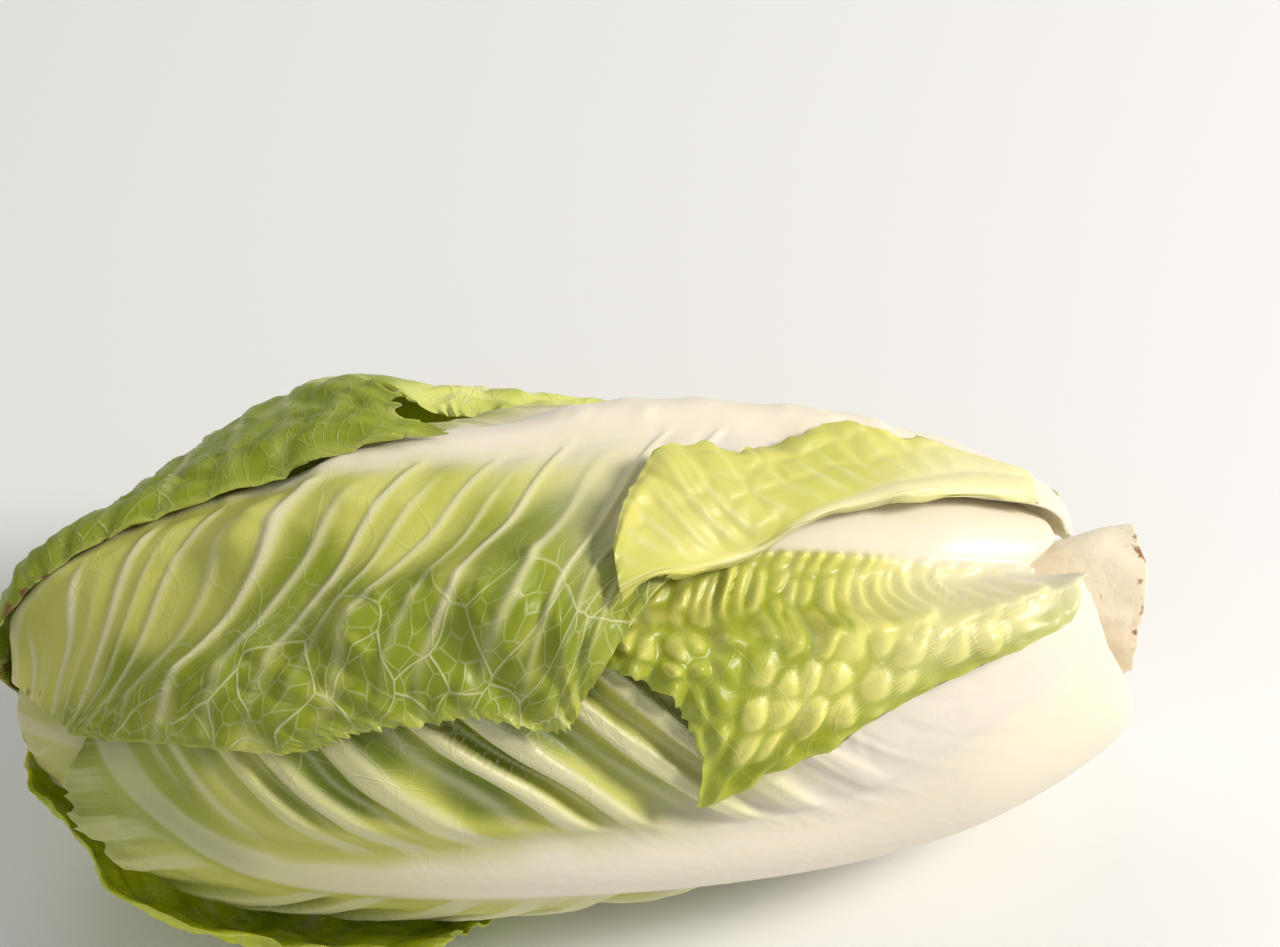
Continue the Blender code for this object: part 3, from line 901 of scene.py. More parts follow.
class Blade:
    """A leaf's blade on its fine grid: its side ribs, relief and colours. Lengths are in millimetres."""

    MIDRIB_EDGE = 0.85  # share of the midrib's half width at which the blade begins
    LEAD_OUT = 7  # how far round the head a side rib takes to leave the midrib
    LEAVING = 3.5  # distance from the midrib over which it rises
    HALF_SHIFT = 0.43  # how far one half's ribs are shifted against the other's, in spacings
    UNEVEN_SPACING = 0.5
    LEAST_STRENGTH = 0.45
    LEAST_CORE = 0.9
    CORE_TAPER = 0.55  # how much thinner a side rib gets towards the margin
    RIB_FADE = 0.75  # and how much lower
    SMALL_RIBS = (3, 12)  # distances from the midrib over which the weaker ribs set in
    NET_FADE = 0.35  # share of the half width over which the net of veins sets in
    RIB_COLOUR = 1.7  # how much wider the ribs' colour is than their height
    SHALLOW = 0.45  # depth of the hollows' colour by the midrib: painted shade in furrows and seams, the blade's own green between narrow ribs
    SHALLOW_ENDS = (2.0, 24.0)

    # Furrowed blades.
    STRIAE = 7  # fine lines for each side rib
    FURROW_WALL = (0.42, 0.95)
    FURROW_BEGINS = (2.5, 5.0)  # least distance from the midrib, and how much more it may be
    FURROW_RUN = (0.16, 0.46)  # shares of the length over which furrows set in
    TIP_FADE = 0.55  # how much shallower furrows and ribs get towards the tip
    FURROW_FLOOR = 0.6  # how far the hollows stay off the leaf below

    # Blistered blades.
    LONG_SIZE = (3.4, 9.5)  # of the long blisters beside the midrib, along the leaf and across it
    LONG_ENDS = (9.0, 20.0)  # distances from the midrib over which they give way to round ones
    BLISTER_GAP = 0.9
    SWELLING = 2.0
    SEAM = (0.18, 0.42)

    # Waves and colours.
    RUFFLE_START = 0.55
    RIM_START = 0.93
    RIM_SHARE = 0.55
    IVORY_NARROWING = 0.85
    GREEN_TIP = 0.7  # how green the midrib is at least towards the tip
    FULL_GREEN = (0.12, 0.16)  # shares of the length before and after ivory_end over which green sets in

    def __init__(self, leaf: Leaf, q: Array, f: Array) -> None:
        """Works out where each place of the grid lies on the leaf and on the unrolled head.

        Args:
            leaf: The leaf.
            q: Shares of the length, from 0 at the base to 1 at the tip.
            f: Shares across it, from -1 to 1.
        """
        self.surface, self.seed = leaf.surface, leaf.seed
        self.q, self.left, self.out = q, f < 0, np.abs(f)
        self.length = leaf.length() / MM
        self.s, self.w = q * self.length, self.out * leaf.side_width(q, f) / MM
        self.along, self.around = leaf.unrolled(q, f)
        self.side = np.where(self.left, 0.0, 40.0)
        self.half = leaf.rib_profile(q)[1] / MM
        self.off = np.maximum(self.w - self.half * self.MIDRIB_EDGE, 0)
        self.leaving = step(0.0, self.LEAVING, self.off)
        start = self.surface.net_start
        self.netted = step(start, start + self.NET_FADE, self.out) * step(0.05, 0.25, q)
        reach = np.abs(self.around)
        self.shifted = self.along - self.surface.sweep * reach
        self.shifted = self.shifted - self.surface.start * (1 - np.exp(-reach / self.LEAD_OUT))
        self.phase, self.ridge = self.side_ribs()
        self.furrow = np.floor(self.phase)

    def wander(self, u: Array, v: Array, seed: int) -> Array:
        """Smooth noise from -0.5 to 0.5 with features one unit wide."""
        return noise(u, v, self.seed + seed) - 0.5

    def side_ribs(self) -> tuple[Array, Array]:
        """Spreads the side ribs along the leaf, unevenly and in wandering lines.

        Returns:
            The number of side ribs passed on the way along the leaf, and how high ribs stand from 0 to 1.
        """
        surface = self.surface
        meander = sum(
            self.wander(self.shifted / one.along + self.side, self.around / one.across, one.seed)
            * one.share
            * step(one.near, one.full, self.off)
            for one in MEANDERS
        )
        phase = surface.ribs * self.shifted / self.length + meander + np.where(self.left, 0.0, self.HALF_SHIFT)
        phase = phase + self.UNEVEN_SPACING * self.wander(phase, self.side, 9)
        spacing = self.length / surface.ribs
        furrow = np.floor(phase)
        ridge = np.zeros(self.q.shape)
        for rib in SIDE_RIBS:
            drawn_lot = hashed(2 * (furrow + rib.place), self.side, self.seed)
            strength = rib.strength * (self.LEAST_STRENGTH + (1 - self.LEAST_STRENGTH) * drawn_lot)
            core = surface.core * (1 - self.CORE_TAPER * self.out) * (0.5 + 0.5 * strength)
            across = np.abs(phase - furrow - rib.place) * spacing / np.maximum(core, self.LEAST_CORE)
            setting_in = 1.0 if rib.strength == 1.0 else step(*self.SMALL_RIBS, self.off)
            ridge = np.maximum(ridge, strength * np.exp(-(across**2)) * setting_in)
        fading = 1 - self.RIB_FADE * step(surface.net_start + 0.1, 0.95, self.out)
        return phase, ridge * self.leaving * fading

    def blisters(self) -> tuple[Array, Array, Array]:
        """Spreads the blisters of the leaf's own size.

        Returns:
            Distances to the nearest and second nearest blister, and a number from 0 to 1 of the nearest.
        """
        along, across = self.surface.blister_size
        return cells(
            self.shifted / along + 0.7 * noise(self.s / 11, self.w / 11, self.seed),
            self.around / across + self.side + 0.7 * noise(self.s / 10, self.w / 10, self.seed + 1),
            self.seed,
        )

    def small_domes(self) -> Array:
        """Low domes between the small veins, from 0 to 1."""
        first, second, _ = self.blisters()
        return step(0.02, 0.5, second - first)

    def ridged(self) -> Shape:
        """Shapes a blade with narrow raised ribs.

        Returns:
            Height in millimetres, depth of the hollows from 0 to 1, and height of the ribs from 0 to 1.
        """
        surface, ridge, dome = self.surface, self.ridge, self.small_domes()
        bulge = np.sin(np.pi * (self.phase - self.furrow)) ** 2 * self.leaving
        height = surface.height * (0.75 * ridge + 0.3 * bulge) + surface.blisters * dome * self.netted
        return height, 0.4 * bulge * (1 - ridge) + 0.35 * self.netted * dome, ridge

    def furrowed(self) -> Shape:
        """Shapes a blade with broad ribs and deep hollows between them.

        Returns:
            Height in millimetres, depth of the hollows from 0 to 1, which the finish paints as shade, and height of
            the ribs from 0 to 1.
        """
        surface, off = self.surface, self.off
        depth = 0.6 + 0.4 * hashed(self.furrow, self.side, self.seed + 11)
        spindle = depth * step(*self.FURROW_WALL, np.sin(np.pi * (self.phase - self.furrow)))
        least, more = self.FURROW_BEGINS
        begin = least + more * hashed(self.furrow, self.side, self.seed + 12)
        lengthwise = step(*self.FURROW_RUN, self.q) * (1 - self.TIP_FADE * step(0.62, 0.95, self.q))
        # The hollows lower the blade, and the finish also paints them darker as shade.
        hollow = spindle * (step(begin, begin + 5.0, off) * lengthwise)
        striae = self.wander(self.phase * self.STRIAE, self.around / 22, 13)
        height = surface.height * (0.35 + 0.65 * step(0.0, 10.0, off)) * (1 - hollow) + 0.3 * striae * self.leaving
        height = height + 0.5 * surface.blisters * self.small_domes() * self.netted + self.FURROW_FLOOR
        ridge = np.maximum(self.ridge, 0.6 * (1 - step(0.0, 0.5, spindle)) * self.leaving)
        return height, hollow, ridge * (1 - self.TIP_FADE * step(0.5, 0.9, self.q))

    def blister_domes(self, first: Array, second: Array, own: Array) -> Array:
        """Domes from 0 to 1 for the distances and the number that cells gives."""
        parted = step(0.0, self.BLISTER_GAP, second - first) * (0.4 + 0.6 * own)
        return np.clip(1 - first**2, 0, 1) * (0.3 + 0.7 * parted)

    def blistered(self) -> Shape:
        """Shapes a blade with glossy blisters, long ones beside the midrib.

        Returns:
            Height in millimetres, depth of the seams between blisters from 0 to 1, which the finish paints as shade
            and deepens towards the margin, and height of the ribs from 0 to 1.
        """
        near = 1 - step(*self.LONG_ENDS, self.off)
        along, across = self.LONG_SIZE
        long = cells(
            self.shifted / along + 0.9 * noise(self.s / 13, self.w / 13, self.seed + 20),
            self.around / across + self.side + 0.6 * noise(self.s / 6, self.w / 10, self.seed + 21),
            self.seed + 22,
        )
        dome = near * self.blister_domes(*long) + (1 - near) * self.blister_domes(*self.blisters())
        swelling = noise(self.s / 15 + self.side, self.around / 12, self.seed + 23)
        height = (self.surface.height * dome + self.SWELLING * swelling) * step(0.0, 2.5, self.off)
        dome = dome * (1 - 0.75 * step(0.8, 1.0, self.out))
        # Painted shade in the seams between the blisters, and a deeper colour towards the margin.
        hollow = 0.75 * (1 - step(*self.SEAM, dome)) + 0.3 * step(0.5, 1.0, self.out)
        return height, hollow, self.ridge * 0.2

    def smooth(self) -> Shape:
        """Shapes a blade with hardly any relief.

        Returns:
            Height in millimetres, depth of the hollows from 0 to 1, and height of the ribs from 0 to 1.
        """
        dome = self.small_domes()
        height = self.surface.blisters * dome * self.netted + self.surface.height * self.ridge
        return height, 0.25 * dome, self.ridge * 0.3

    def ruffles(self) -> Array:
        """Makes the margin's waves.

        Returns:
            Their height from 0 to 1.
        """
        bend = 1.4 * noise(self.s / 23, self.side, self.seed + 4)
        wave = np.sin(2 * np.pi * (self.s / self.surface.ruffle_length + bend))
        return 0.5 + 0.5 * wave * (0.5 + 0.5 * noise(self.s / 12, self.side, self.seed + 7))

    def green(self) -> Array:
        """Spreads the blade's own colour from where its ivory base and midrib end.

        Returns:
            How far each place has turned from ivory to green, from 0 to 1.
        """
        surface, q = self.surface, self.q
        fade = surface.ivory_across * (1 - self.IVORY_NARROWING * step(0.3, 0.9, q))
        core = self.half * (0.85 - 0.6 * step(0.4, 0.9, q))
        uneven = 0.35 * fade * self.wander(self.s / 8, self.w / 10, 5)
        green = step(-0.2, 1.0, (self.w - core + uneven) / fade)
        start = surface.ivory_end - 0.22 * self.out
        before, after = self.FULL_GREEN
        wandered = q + 0.05 * self.wander(self.s / 14, self.w / 14, 6)
        green = green * step(start - before, start + after, wandered)
        return np.maximum(green, self.GREEN_TIP * step(0.5, 0.9, q))

    def shade(self) -> Array:
        """Spreads light and deep green in soft patches, deeper towards the margin, with painted shade towards the tip.

        Returns:
            How much deeper than the light green each place is.
        """
        small = 0.9 * self.wander(self.s / 13, self.w / 11, 30)
        broad = 0.8 * (noise(self.s / 37, self.w / 31, self.seed + 31) - 0.42)
        towards_margin = self.surface.margin_depth * step(0.1, 0.95, self.out)
        # The last term is painted shade towards the tip.
        return small + broad + towards_margin + self.surface.painted_tip_shade * step(0.4, 0.95, self.q)

    def browning(self) -> Array:
        """How far the tip and the margin by it have browned."""
        tipping = step(0.95, 1.0, self.q) + 0.8 * step(0.92, 1.0, self.out) * step(0.88, 1.0, self.q)
        return self.surface.brown_tip * np.clip(tipping, 0, 1)

    def facts(self) -> dict[str, Array]:
        """Gathers what the mesh and the finish need.

        Returns:
            The relief in metres under "height", and each attribute of the finish by its name.
        """
        surface = self.surface
        shaped = {
            Relief.RIDGED: self.ridged,
            Relief.FURROWED: self.furrowed,
            Relief.BLISTERED: self.blistered,
            Relief.SMOOTH: self.smooth,
        }
        height, hollow, ridge = shaped[surface.relief]()
        edge = step(self.RUFFLE_START, 1.0, self.out)
        green = self.green()
        return {
            "height": (height + surface.ruffle * self.ruffles() * edge) * MM,
            "shifted": self.along - 0.5 * surface.sweep * np.abs(self.around),
            "around": self.around,
            "rib": np.clip(ridge * self.RIB_COLOUR, 0, 1) * (1 - 0.6 * edge),
            "green": green,
            # Painted shade in furrows and seams; between narrow ribs, the blade's own deeper green.
            "hollow": hollow * (self.SHALLOW + (1 - self.SHALLOW) * step(*self.SHALLOW_ENDS, self.off)),
            "net": self.netted * green + 0.25 * green,
            "rim": step(self.RIM_START, 1.0, self.out) * self.RIM_SHARE,
            "brown": self.browning(),
            "shade": self.shade(),
        }


class Head:
    """The layers of leaves, laid from the smallest inner one outwards."""

    def __init__(self) -> None:
        """Starts with the bare stem."""
        self.corners: list[Array] = []
        self.tops: list[Array] = []

    def highest_near(self, places: Array) -> tuple[Array, Array]:
        """The highest tops within the two reaches of each place.

        Args:
            places: Points at the level at which distances are measured.

        Returns:
            The highest top within REACH and that within FIRM_REACH, or 0 where there is none.
        """
        wide, firm = np.zeros(len(places)), np.zeros(len(places))
        for others, tops in zip(self.corners, self.tops):
            for first in range(0, len(places), 128):
                block = places[first : first + 128]
                close = ((others > block.min(axis=0) - REACH) & (others < block.max(axis=0) + REACH)).all(axis=1)
                if not close.any():
                    continue
                some, heights = others[close], tops[close]
                apart = (block**2).sum(1)[:, None] + (some**2).sum(1)[None, :] - 2 * block @ some.T
                here = slice(first, first + len(block))
                wide[here] = np.maximum(wide[here], np.where(apart < REACH**2, heights, 0).max(axis=1))
                firm[here] = np.maximum(firm[here], np.where(apart < FIRM_REACH**2, heights, 0).max(axis=1))
        return wide, firm

    @staticmethod
    def smoothed(values: Array) -> Array:
        """Averages values with their neighbours along both sides of the grid.

        Args:
            values: Values on a grid.

        Returns:
            The smoothed values.
        """
        for _ in range(2):
            padded = np.concatenate([values[:1], values, values[-1:]])
            values = ((padded[:-2] + 2 * padded[1:-1] + padded[2:]) / 4).T
        return values

    @staticmethod
    def pressed(places: Array) -> Array:
        """Works out how fully the head's weight presses a leaf onto the surface.

        Args:
            places: Points of the leaf if it touched the surface.

        Returns:
            Shares from 0 for not at all to 1.
        """
        off = np.maximum(
            np.abs(places[..., 0] - REST_MIDDLE[0]) / REST_HALF[0],
            np.abs(places[..., 1] - REST_MIDDLE[1]) / REST_HALF[1],
        )
        return np.clip(2.2 - 1.2 * off, 0, 1)

    def lay(self, leaf: Leaf) -> tuple[Array, Array, dict[str, Array]]:
        """Lays a leaf over those laid so far.

        Args:
            leaf: The leaf.

        Returns:
            Grids of corners of its inner and outer faces, and what its finish reads.
        """
        q, f = np.meshgrid(np.linspace(0, 1, leaf.lines), np.linspace(-1, 1, leaf.columns), indexing="ij")
        directions = leaf.directions(q, f)
        risen = np.clip(q / leaf.rise, 0, 1)
        own = leaf.level * head_level(directions) * risen * (2 - risen)
        own = np.maximum(own, stem_level(directions) + STEM_AIR)
        wide, firm = self.highest_near(point(directions, np.full(q.shape, REFERENCE)).reshape(-1, 3))
        wide = np.maximum(own, wide.reshape(q.shape) + AIR)
        firm = np.maximum(own, firm.reshape(q.shape) + AIR)
        floor = wide
        for _ in range(SMOOTHINGS):
            floor = np.maximum(self.smoothed(floor), firm)
        floor = np.maximum(self.smoothed(floor), firm)
        rows = (leaf.lines - 1) * leaf.finer[0] + 1
        columns = (leaf.columns - 1) * leaf.finer[1] + 1
        floor = refining(leaf.lines, rows) @ floor @ refining(leaf.columns, columns).T
        q, f = np.meshgrid(np.linspace(0, 1, rows), np.linspace(-1, 1, columns), indexing="ij")
        facts = leaf.relief(q, f)
        inner = floor + leaf.stand_off(q, f) + facts.pop("height")
        outer = inner + leaf.thickness(q, f)
        directions = leaf.directions(q, leaf.drawn(q, f))
        if leaf.rests:
            lowest = REST_DEPTH / np.maximum(-directions[..., 2], LEAST_DOWN)
            outer = np.minimum(outer + self.pressed(point(directions, lowest)) * (lowest - outer), lowest)
            inner = np.minimum(inner, lowest - BLADE)
        places = point(directions, np.full(outer.shape, REFERENCE))
        tall = outer[: rows // POOL * POOL, : columns // POOL * POOL]
        tall = tall.reshape(rows // POOL, POOL, columns // POOL, POOL).max(axis=(1, 3))
        some = places[POOL // 2 :: POOL, POOL // 2 :: POOL][: tall.shape[0], : tall.shape[1]]
        self.corners.append(some.reshape(-1, 3))
        self.tops.append(tall.ravel())
        return point(directions, inner), point(directions, outer), facts


def shell(outer: Array, inner: Array) -> tuple[Array, Faces]:
    """A closed shell between a fine grid of corners and one with every second line and column.

    Args:
        outer: Corners of the outer face, with odd numbers of lines and columns.
        inner: Corners of the inner face on the same grid.

    Returns:
        All corners, those of the outer face first, and the faces.
    """
    rows, columns = outer.shape[:2]
    fine = np.arange(rows * columns).reshape(rows, columns)
    inner = inner[::2, ::2]
    coarse = np.arange(inner.shape[0] * inner.shape[1]).reshape(inner.shape[:2]) + rows * columns

    def quads(index: Array) -> Array:
        """Lists a grid's faces, each begun at the corner from which it is split along the side ribs.

        Args:
            index: Numbers of the grid's corners.

        Returns:
            The corners of each four-sided face.
        """
        sides = np.stack((index[:-1, :-1], index[:-1, 1:], index[1:, 1:], index[1:, :-1]), axis=-1)
        left = index.shape[1] // 2
        sides[:, :left] = np.roll(sides[:, :left], -1, axis=-1)
        return sides.reshape(-1, 4)

    def border(index: Array) -> Array:
        """The corners round a grid."""
        return np.concatenate([index[0, :], index[1:, -1], index[-1, -2::-1], index[-2:0:-1, 0]])

    faces = quads(fine).tolist() + quads(coarse)[:, ::-1].tolist()
    far, near = border(fine), border(coarse)
    rim = (near, np.roll(near, -1), np.roll(far, -2)[::2], np.roll(far, -1)[::2], far[::2])
    faces += np.stack(rim, axis=1).tolist()
    return np.concatenate([outer.reshape(-1, 3), inner.reshape(-1, 3)]), faces


def add_piece(name: str, corners: Array, faces: Faces, material: bpy.types.Material) -> bpy.types.Object:
    """Adds a mesh piece, moved to where the head lies.

    Args:
        name: The piece's name.
        corners: Its corners, with the middle of the head as origin.
        faces: Its faces.
        material: Its material.

    Returns:
        The piece.
    """
    mesh = bpy.data.meshes.new(name)
    mesh.from_pydata((corners + np.array(HEAD_PLACE)).tolist(), [], faces)
    mesh.shade_smooth()
    mesh.set_sharp_from_angle(angle=SHARP)
    mesh.materials.append(material)
    piece = bpy.data.objects.new(name, mesh)
    bpy.context.scene.collection.objects.link(piece)
    return piece


def finish_piece(piece: bpy.types.Object, node: str) -> None:
    """Ties a piece to the solid node that it stands for.

    Args:
        piece: The piece.
        node: The solid node's name.
    """
    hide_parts(node)
    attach(piece, "root")
    log.info("%s: %d faces", piece.name, len(piece.data.polygons))


@dataclass
class LeafPiece:
    """A fine leaf."""

    leaf: Leaf

    def build(self, head: Head, material: bpy.types.Material) -> bpy.types.Object:
        """Lays the leaf on the head and adds its mesh with what the finish reads.

        Args:
            head: The head with the leaves laid so far.
            material: The leaf's material.

        Returns:
            The piece.
        """
        inner, outer, facts = head.lay(self.leaf)
        flat = facts.pop("shifted"), facts.pop("around")
        piece = add_piece(f"fine_{self.leaf.name}", *shell(outer, inner), material)

        def both_faces(values: Array) -> Array:
            """The values at the corners of the outer face and then of the inner one."""
            return np.concatenate([values.ravel(), values[::2, ::2].ravel()]).astype(np.float32)

        for name, values in facts.items():
            held = piece.data.attributes.new(name, "FLOAT", "POINT")
            held.data.foreach_set("value", both_faces(values))
        place = np.zeros(outer.shape)
        for axis, other in ((0, 1), (1, 0)):
            bend = noise(flat[axis] / WARP_LENGTH, flat[other] / WARP_LENGTH, self.leaf.seed + axis) - 0.5
            place[..., axis] = (flat[axis] + WARP * bend) * MM
        held = piece.data.attributes.new("place", "FLOAT_VECTOR", "POINT")
        laid = np.stack([both_faces(place[..., axis]) for axis in range(3)], axis=1)
        held.data.foreach_set("vector", laid.ravel())
        return piece

    def dress(self, piece: bpy.types.Object) -> None:
        """Ties the leaf to its solid node."""
        finish_piece(piece, self.leaf.name)


@dataclass
class Stem:
    """The stem with its cut butt and the scars of trimmed leaves."""

    rings: int = 120
    sides: int = 96
    side_share: float = 0.75  # share of the rings along the side; the rest close over the cut face
    closing_power: float = 2.2
    scar_depth: float = 0.07  # shares of the radius
    scars: int = 3
    unevenness: float = 0.12
    lump: float = 1.3  # height of the cut face's lumps, in millimetres
    dome: float = 1.0
    slant_turn: float = math.pi / 6  # the side of the butt that is cut back least

    def build(self, material: bpy.types.Material) -> bpy.types.Object:
        """Adds the stem's mesh.

        Args:
            material: Its material.

        Returns:
            The piece.
        """
        t = np.linspace(0, 1, self.rings)
        angle = np.linspace(0, 2 * math.pi, self.sides, endpoint=False)
        side = np.clip(t / self.side_share, 0, 1)
        over = np.clip((t - self.side_share) / (1 - self.side_share), 0, 1)
        x = STEM_TIP + (BUTT_END - STEM_TIP) * (0.01 + 0.99 * side)
        radius = stem_radius(x) * np.sqrt(np.clip(1 - over**self.closing_power, 0, 1)) + 0.02 * MM
        x, turn = np.meshgrid(x, angle, indexing="ij")
        radius = np.repeat(radius[:, None], self.sides, axis=1)
        share = np.repeat(side[:, None], self.sides, axis=1)
        closing = np.repeat(over[:, None], self.sides, axis=1)
        u, v = 2.2 * np.cos(turn) + 5, 2.2 * np.sin(turn) + 5
        lumps = noise(u + 9 * share, v + 3 * share, 3) - 0.5 + 0.5 * (noise(2.3 * u, 2.3 * v + 9 * share, 4) - 0.5)
        scars = self.scar_depth * np.clip((share - 0.5) / 0.5, 0, 1) * np.cos(self.scars * turn)
        radius = radius * (1 + scars + self.unevenness * lumps * step(0.75, 0.95, share))
        cut = BUTT_SLANT * step(0.85, 1.0, share) * (1 - np.cos(turn - self.slant_turn)) / 2
        x = x - cut + self.lump * MM * lumps * step(0.9, 1.0, share) + self.dome * MM * closing * (1 - closing)
        corners = np.stack([x, radius * np.sin(turn), radius * np.cos(turn)], axis=-1)
        index = np.arange(self.rings * self.sides).reshape(self.rings, self.sides)
        after = np.roll(index, -1, axis=1)
        faces = np.stack([index[:-1], index[1:], after[1:], after[:-1]], axis=-1).reshape(-1, 4)
        piece = add_piece("fine_stem", corners.reshape(-1, 3), faces.tolist(), material)
        held = piece.data.attributes.new("scar", "FLOAT", "POINT")
        held.data.foreach_set("value", step(0.9, 1.0, share).ravel().astype(np.float32))
        return piece

    def dress(self, piece: bpy.types.Object) -> None:
        """Ties the stem to its solid node."""
        finish_piece(piece, "stem")


PALE = LeafFinish("pale_inner_leaf", light=(0.62, 0.62, 0.20), deep=(0.42, 0.46, 0.08), veined=False)
HIDDEN = LeafFinish("light_green_leaf", light=(0.42, 0.47, 0.09), deep=(0.20, 0.27, 0.02), veined=False)
LIME = LeafFinish(
    "lime_leaf",
    light=(0.66, 0.66, 0.14),
    deep=(0.26, 0.31, 0.012),
    roughness=0.4,
    large_vein=10.0,
    small_vein=3.4,
    vein_share=0.7,
)
RIBBED = LeafFinish(
    "furrowed_leaf", light=(0.54, 0.56, 0.11), deep=(0.18, 0.23, 0.01), roughness=0.42, vein_share=0.4
)
GLOSSY = LeafFinish(
    "blistered_leaf",
    light=(0.78, 0.74, 0.19),
    deep=(0.36, 0.41, 0.03),
    roughness=0.36,
    coat=0.12,
    vein_share=0.15,
    bump=Bump.FAINT,
)
YELLOW = LeafFinish(
    "thin_leaf",
    ivory=(0.80, 0.76, 0.42),
    light=(0.70, 0.66, 0.17),
    deep=(0.50, 0.52, 0.09),
    roughness=0.45,
    veined=False,
    bump=Bump.FAINT,
)
MID_GREEN = LeafFinish(
    "mid_green_leaf", light=(0.80, 0.86, 0.19), deep=(0.28, 0.34, 0.015), roughness=0.5, vein_share=0.25
)
OLIVE = LeafFinish("olive_leaf", light=(0.58, 0.65, 0.012), deep=(0.33, 0.39, 0.004), roughness=0.42, vein_share=0.25)


def inner_leaf(index: int) -> Leaf:
    """Describes one of the small leaves inside the head.

    Args:
        index: Its place, counted from 0 at the middle of the head.

    Returns:
        The leaf.
    """
    share = index / (INNER_LEAVES - 1)

    def between(pair: Pair) -> float:
        """The value for this leaf between those of the first and the last."""
        return pair[0] + (pair[1] - pair[0]) * share

    level = between(INNER_LEVELS)
    widths = tuple(width * max(level, LEAST_LEVEL) for width in INNER_WIDTHS)
    return Leaf(
        f"heart_leaf_{index + 1}",
        PALE,
        "inner_leaf",
        turn=FIRST_TURN + GOLDEN_ANGLE * index,
        base=between(INNER_BASES),
        tip=between(INNER_TIPS),
        level=level,
        left=widths,
        right=widths,
        lead=14 + 12 * share,
        wrap=(45, 45),
        rib=2 + 1.2 * share,
        rib_width=4 + 5 * share,
        surface=Surface(height=0.7, ruffle=0.8, blisters=0.4, ribs=10, tooth=0.7, lobe=1.0),
        lines=31,
        columns=19,
        finer=(3, 2),
        seed=20 + index,
    )


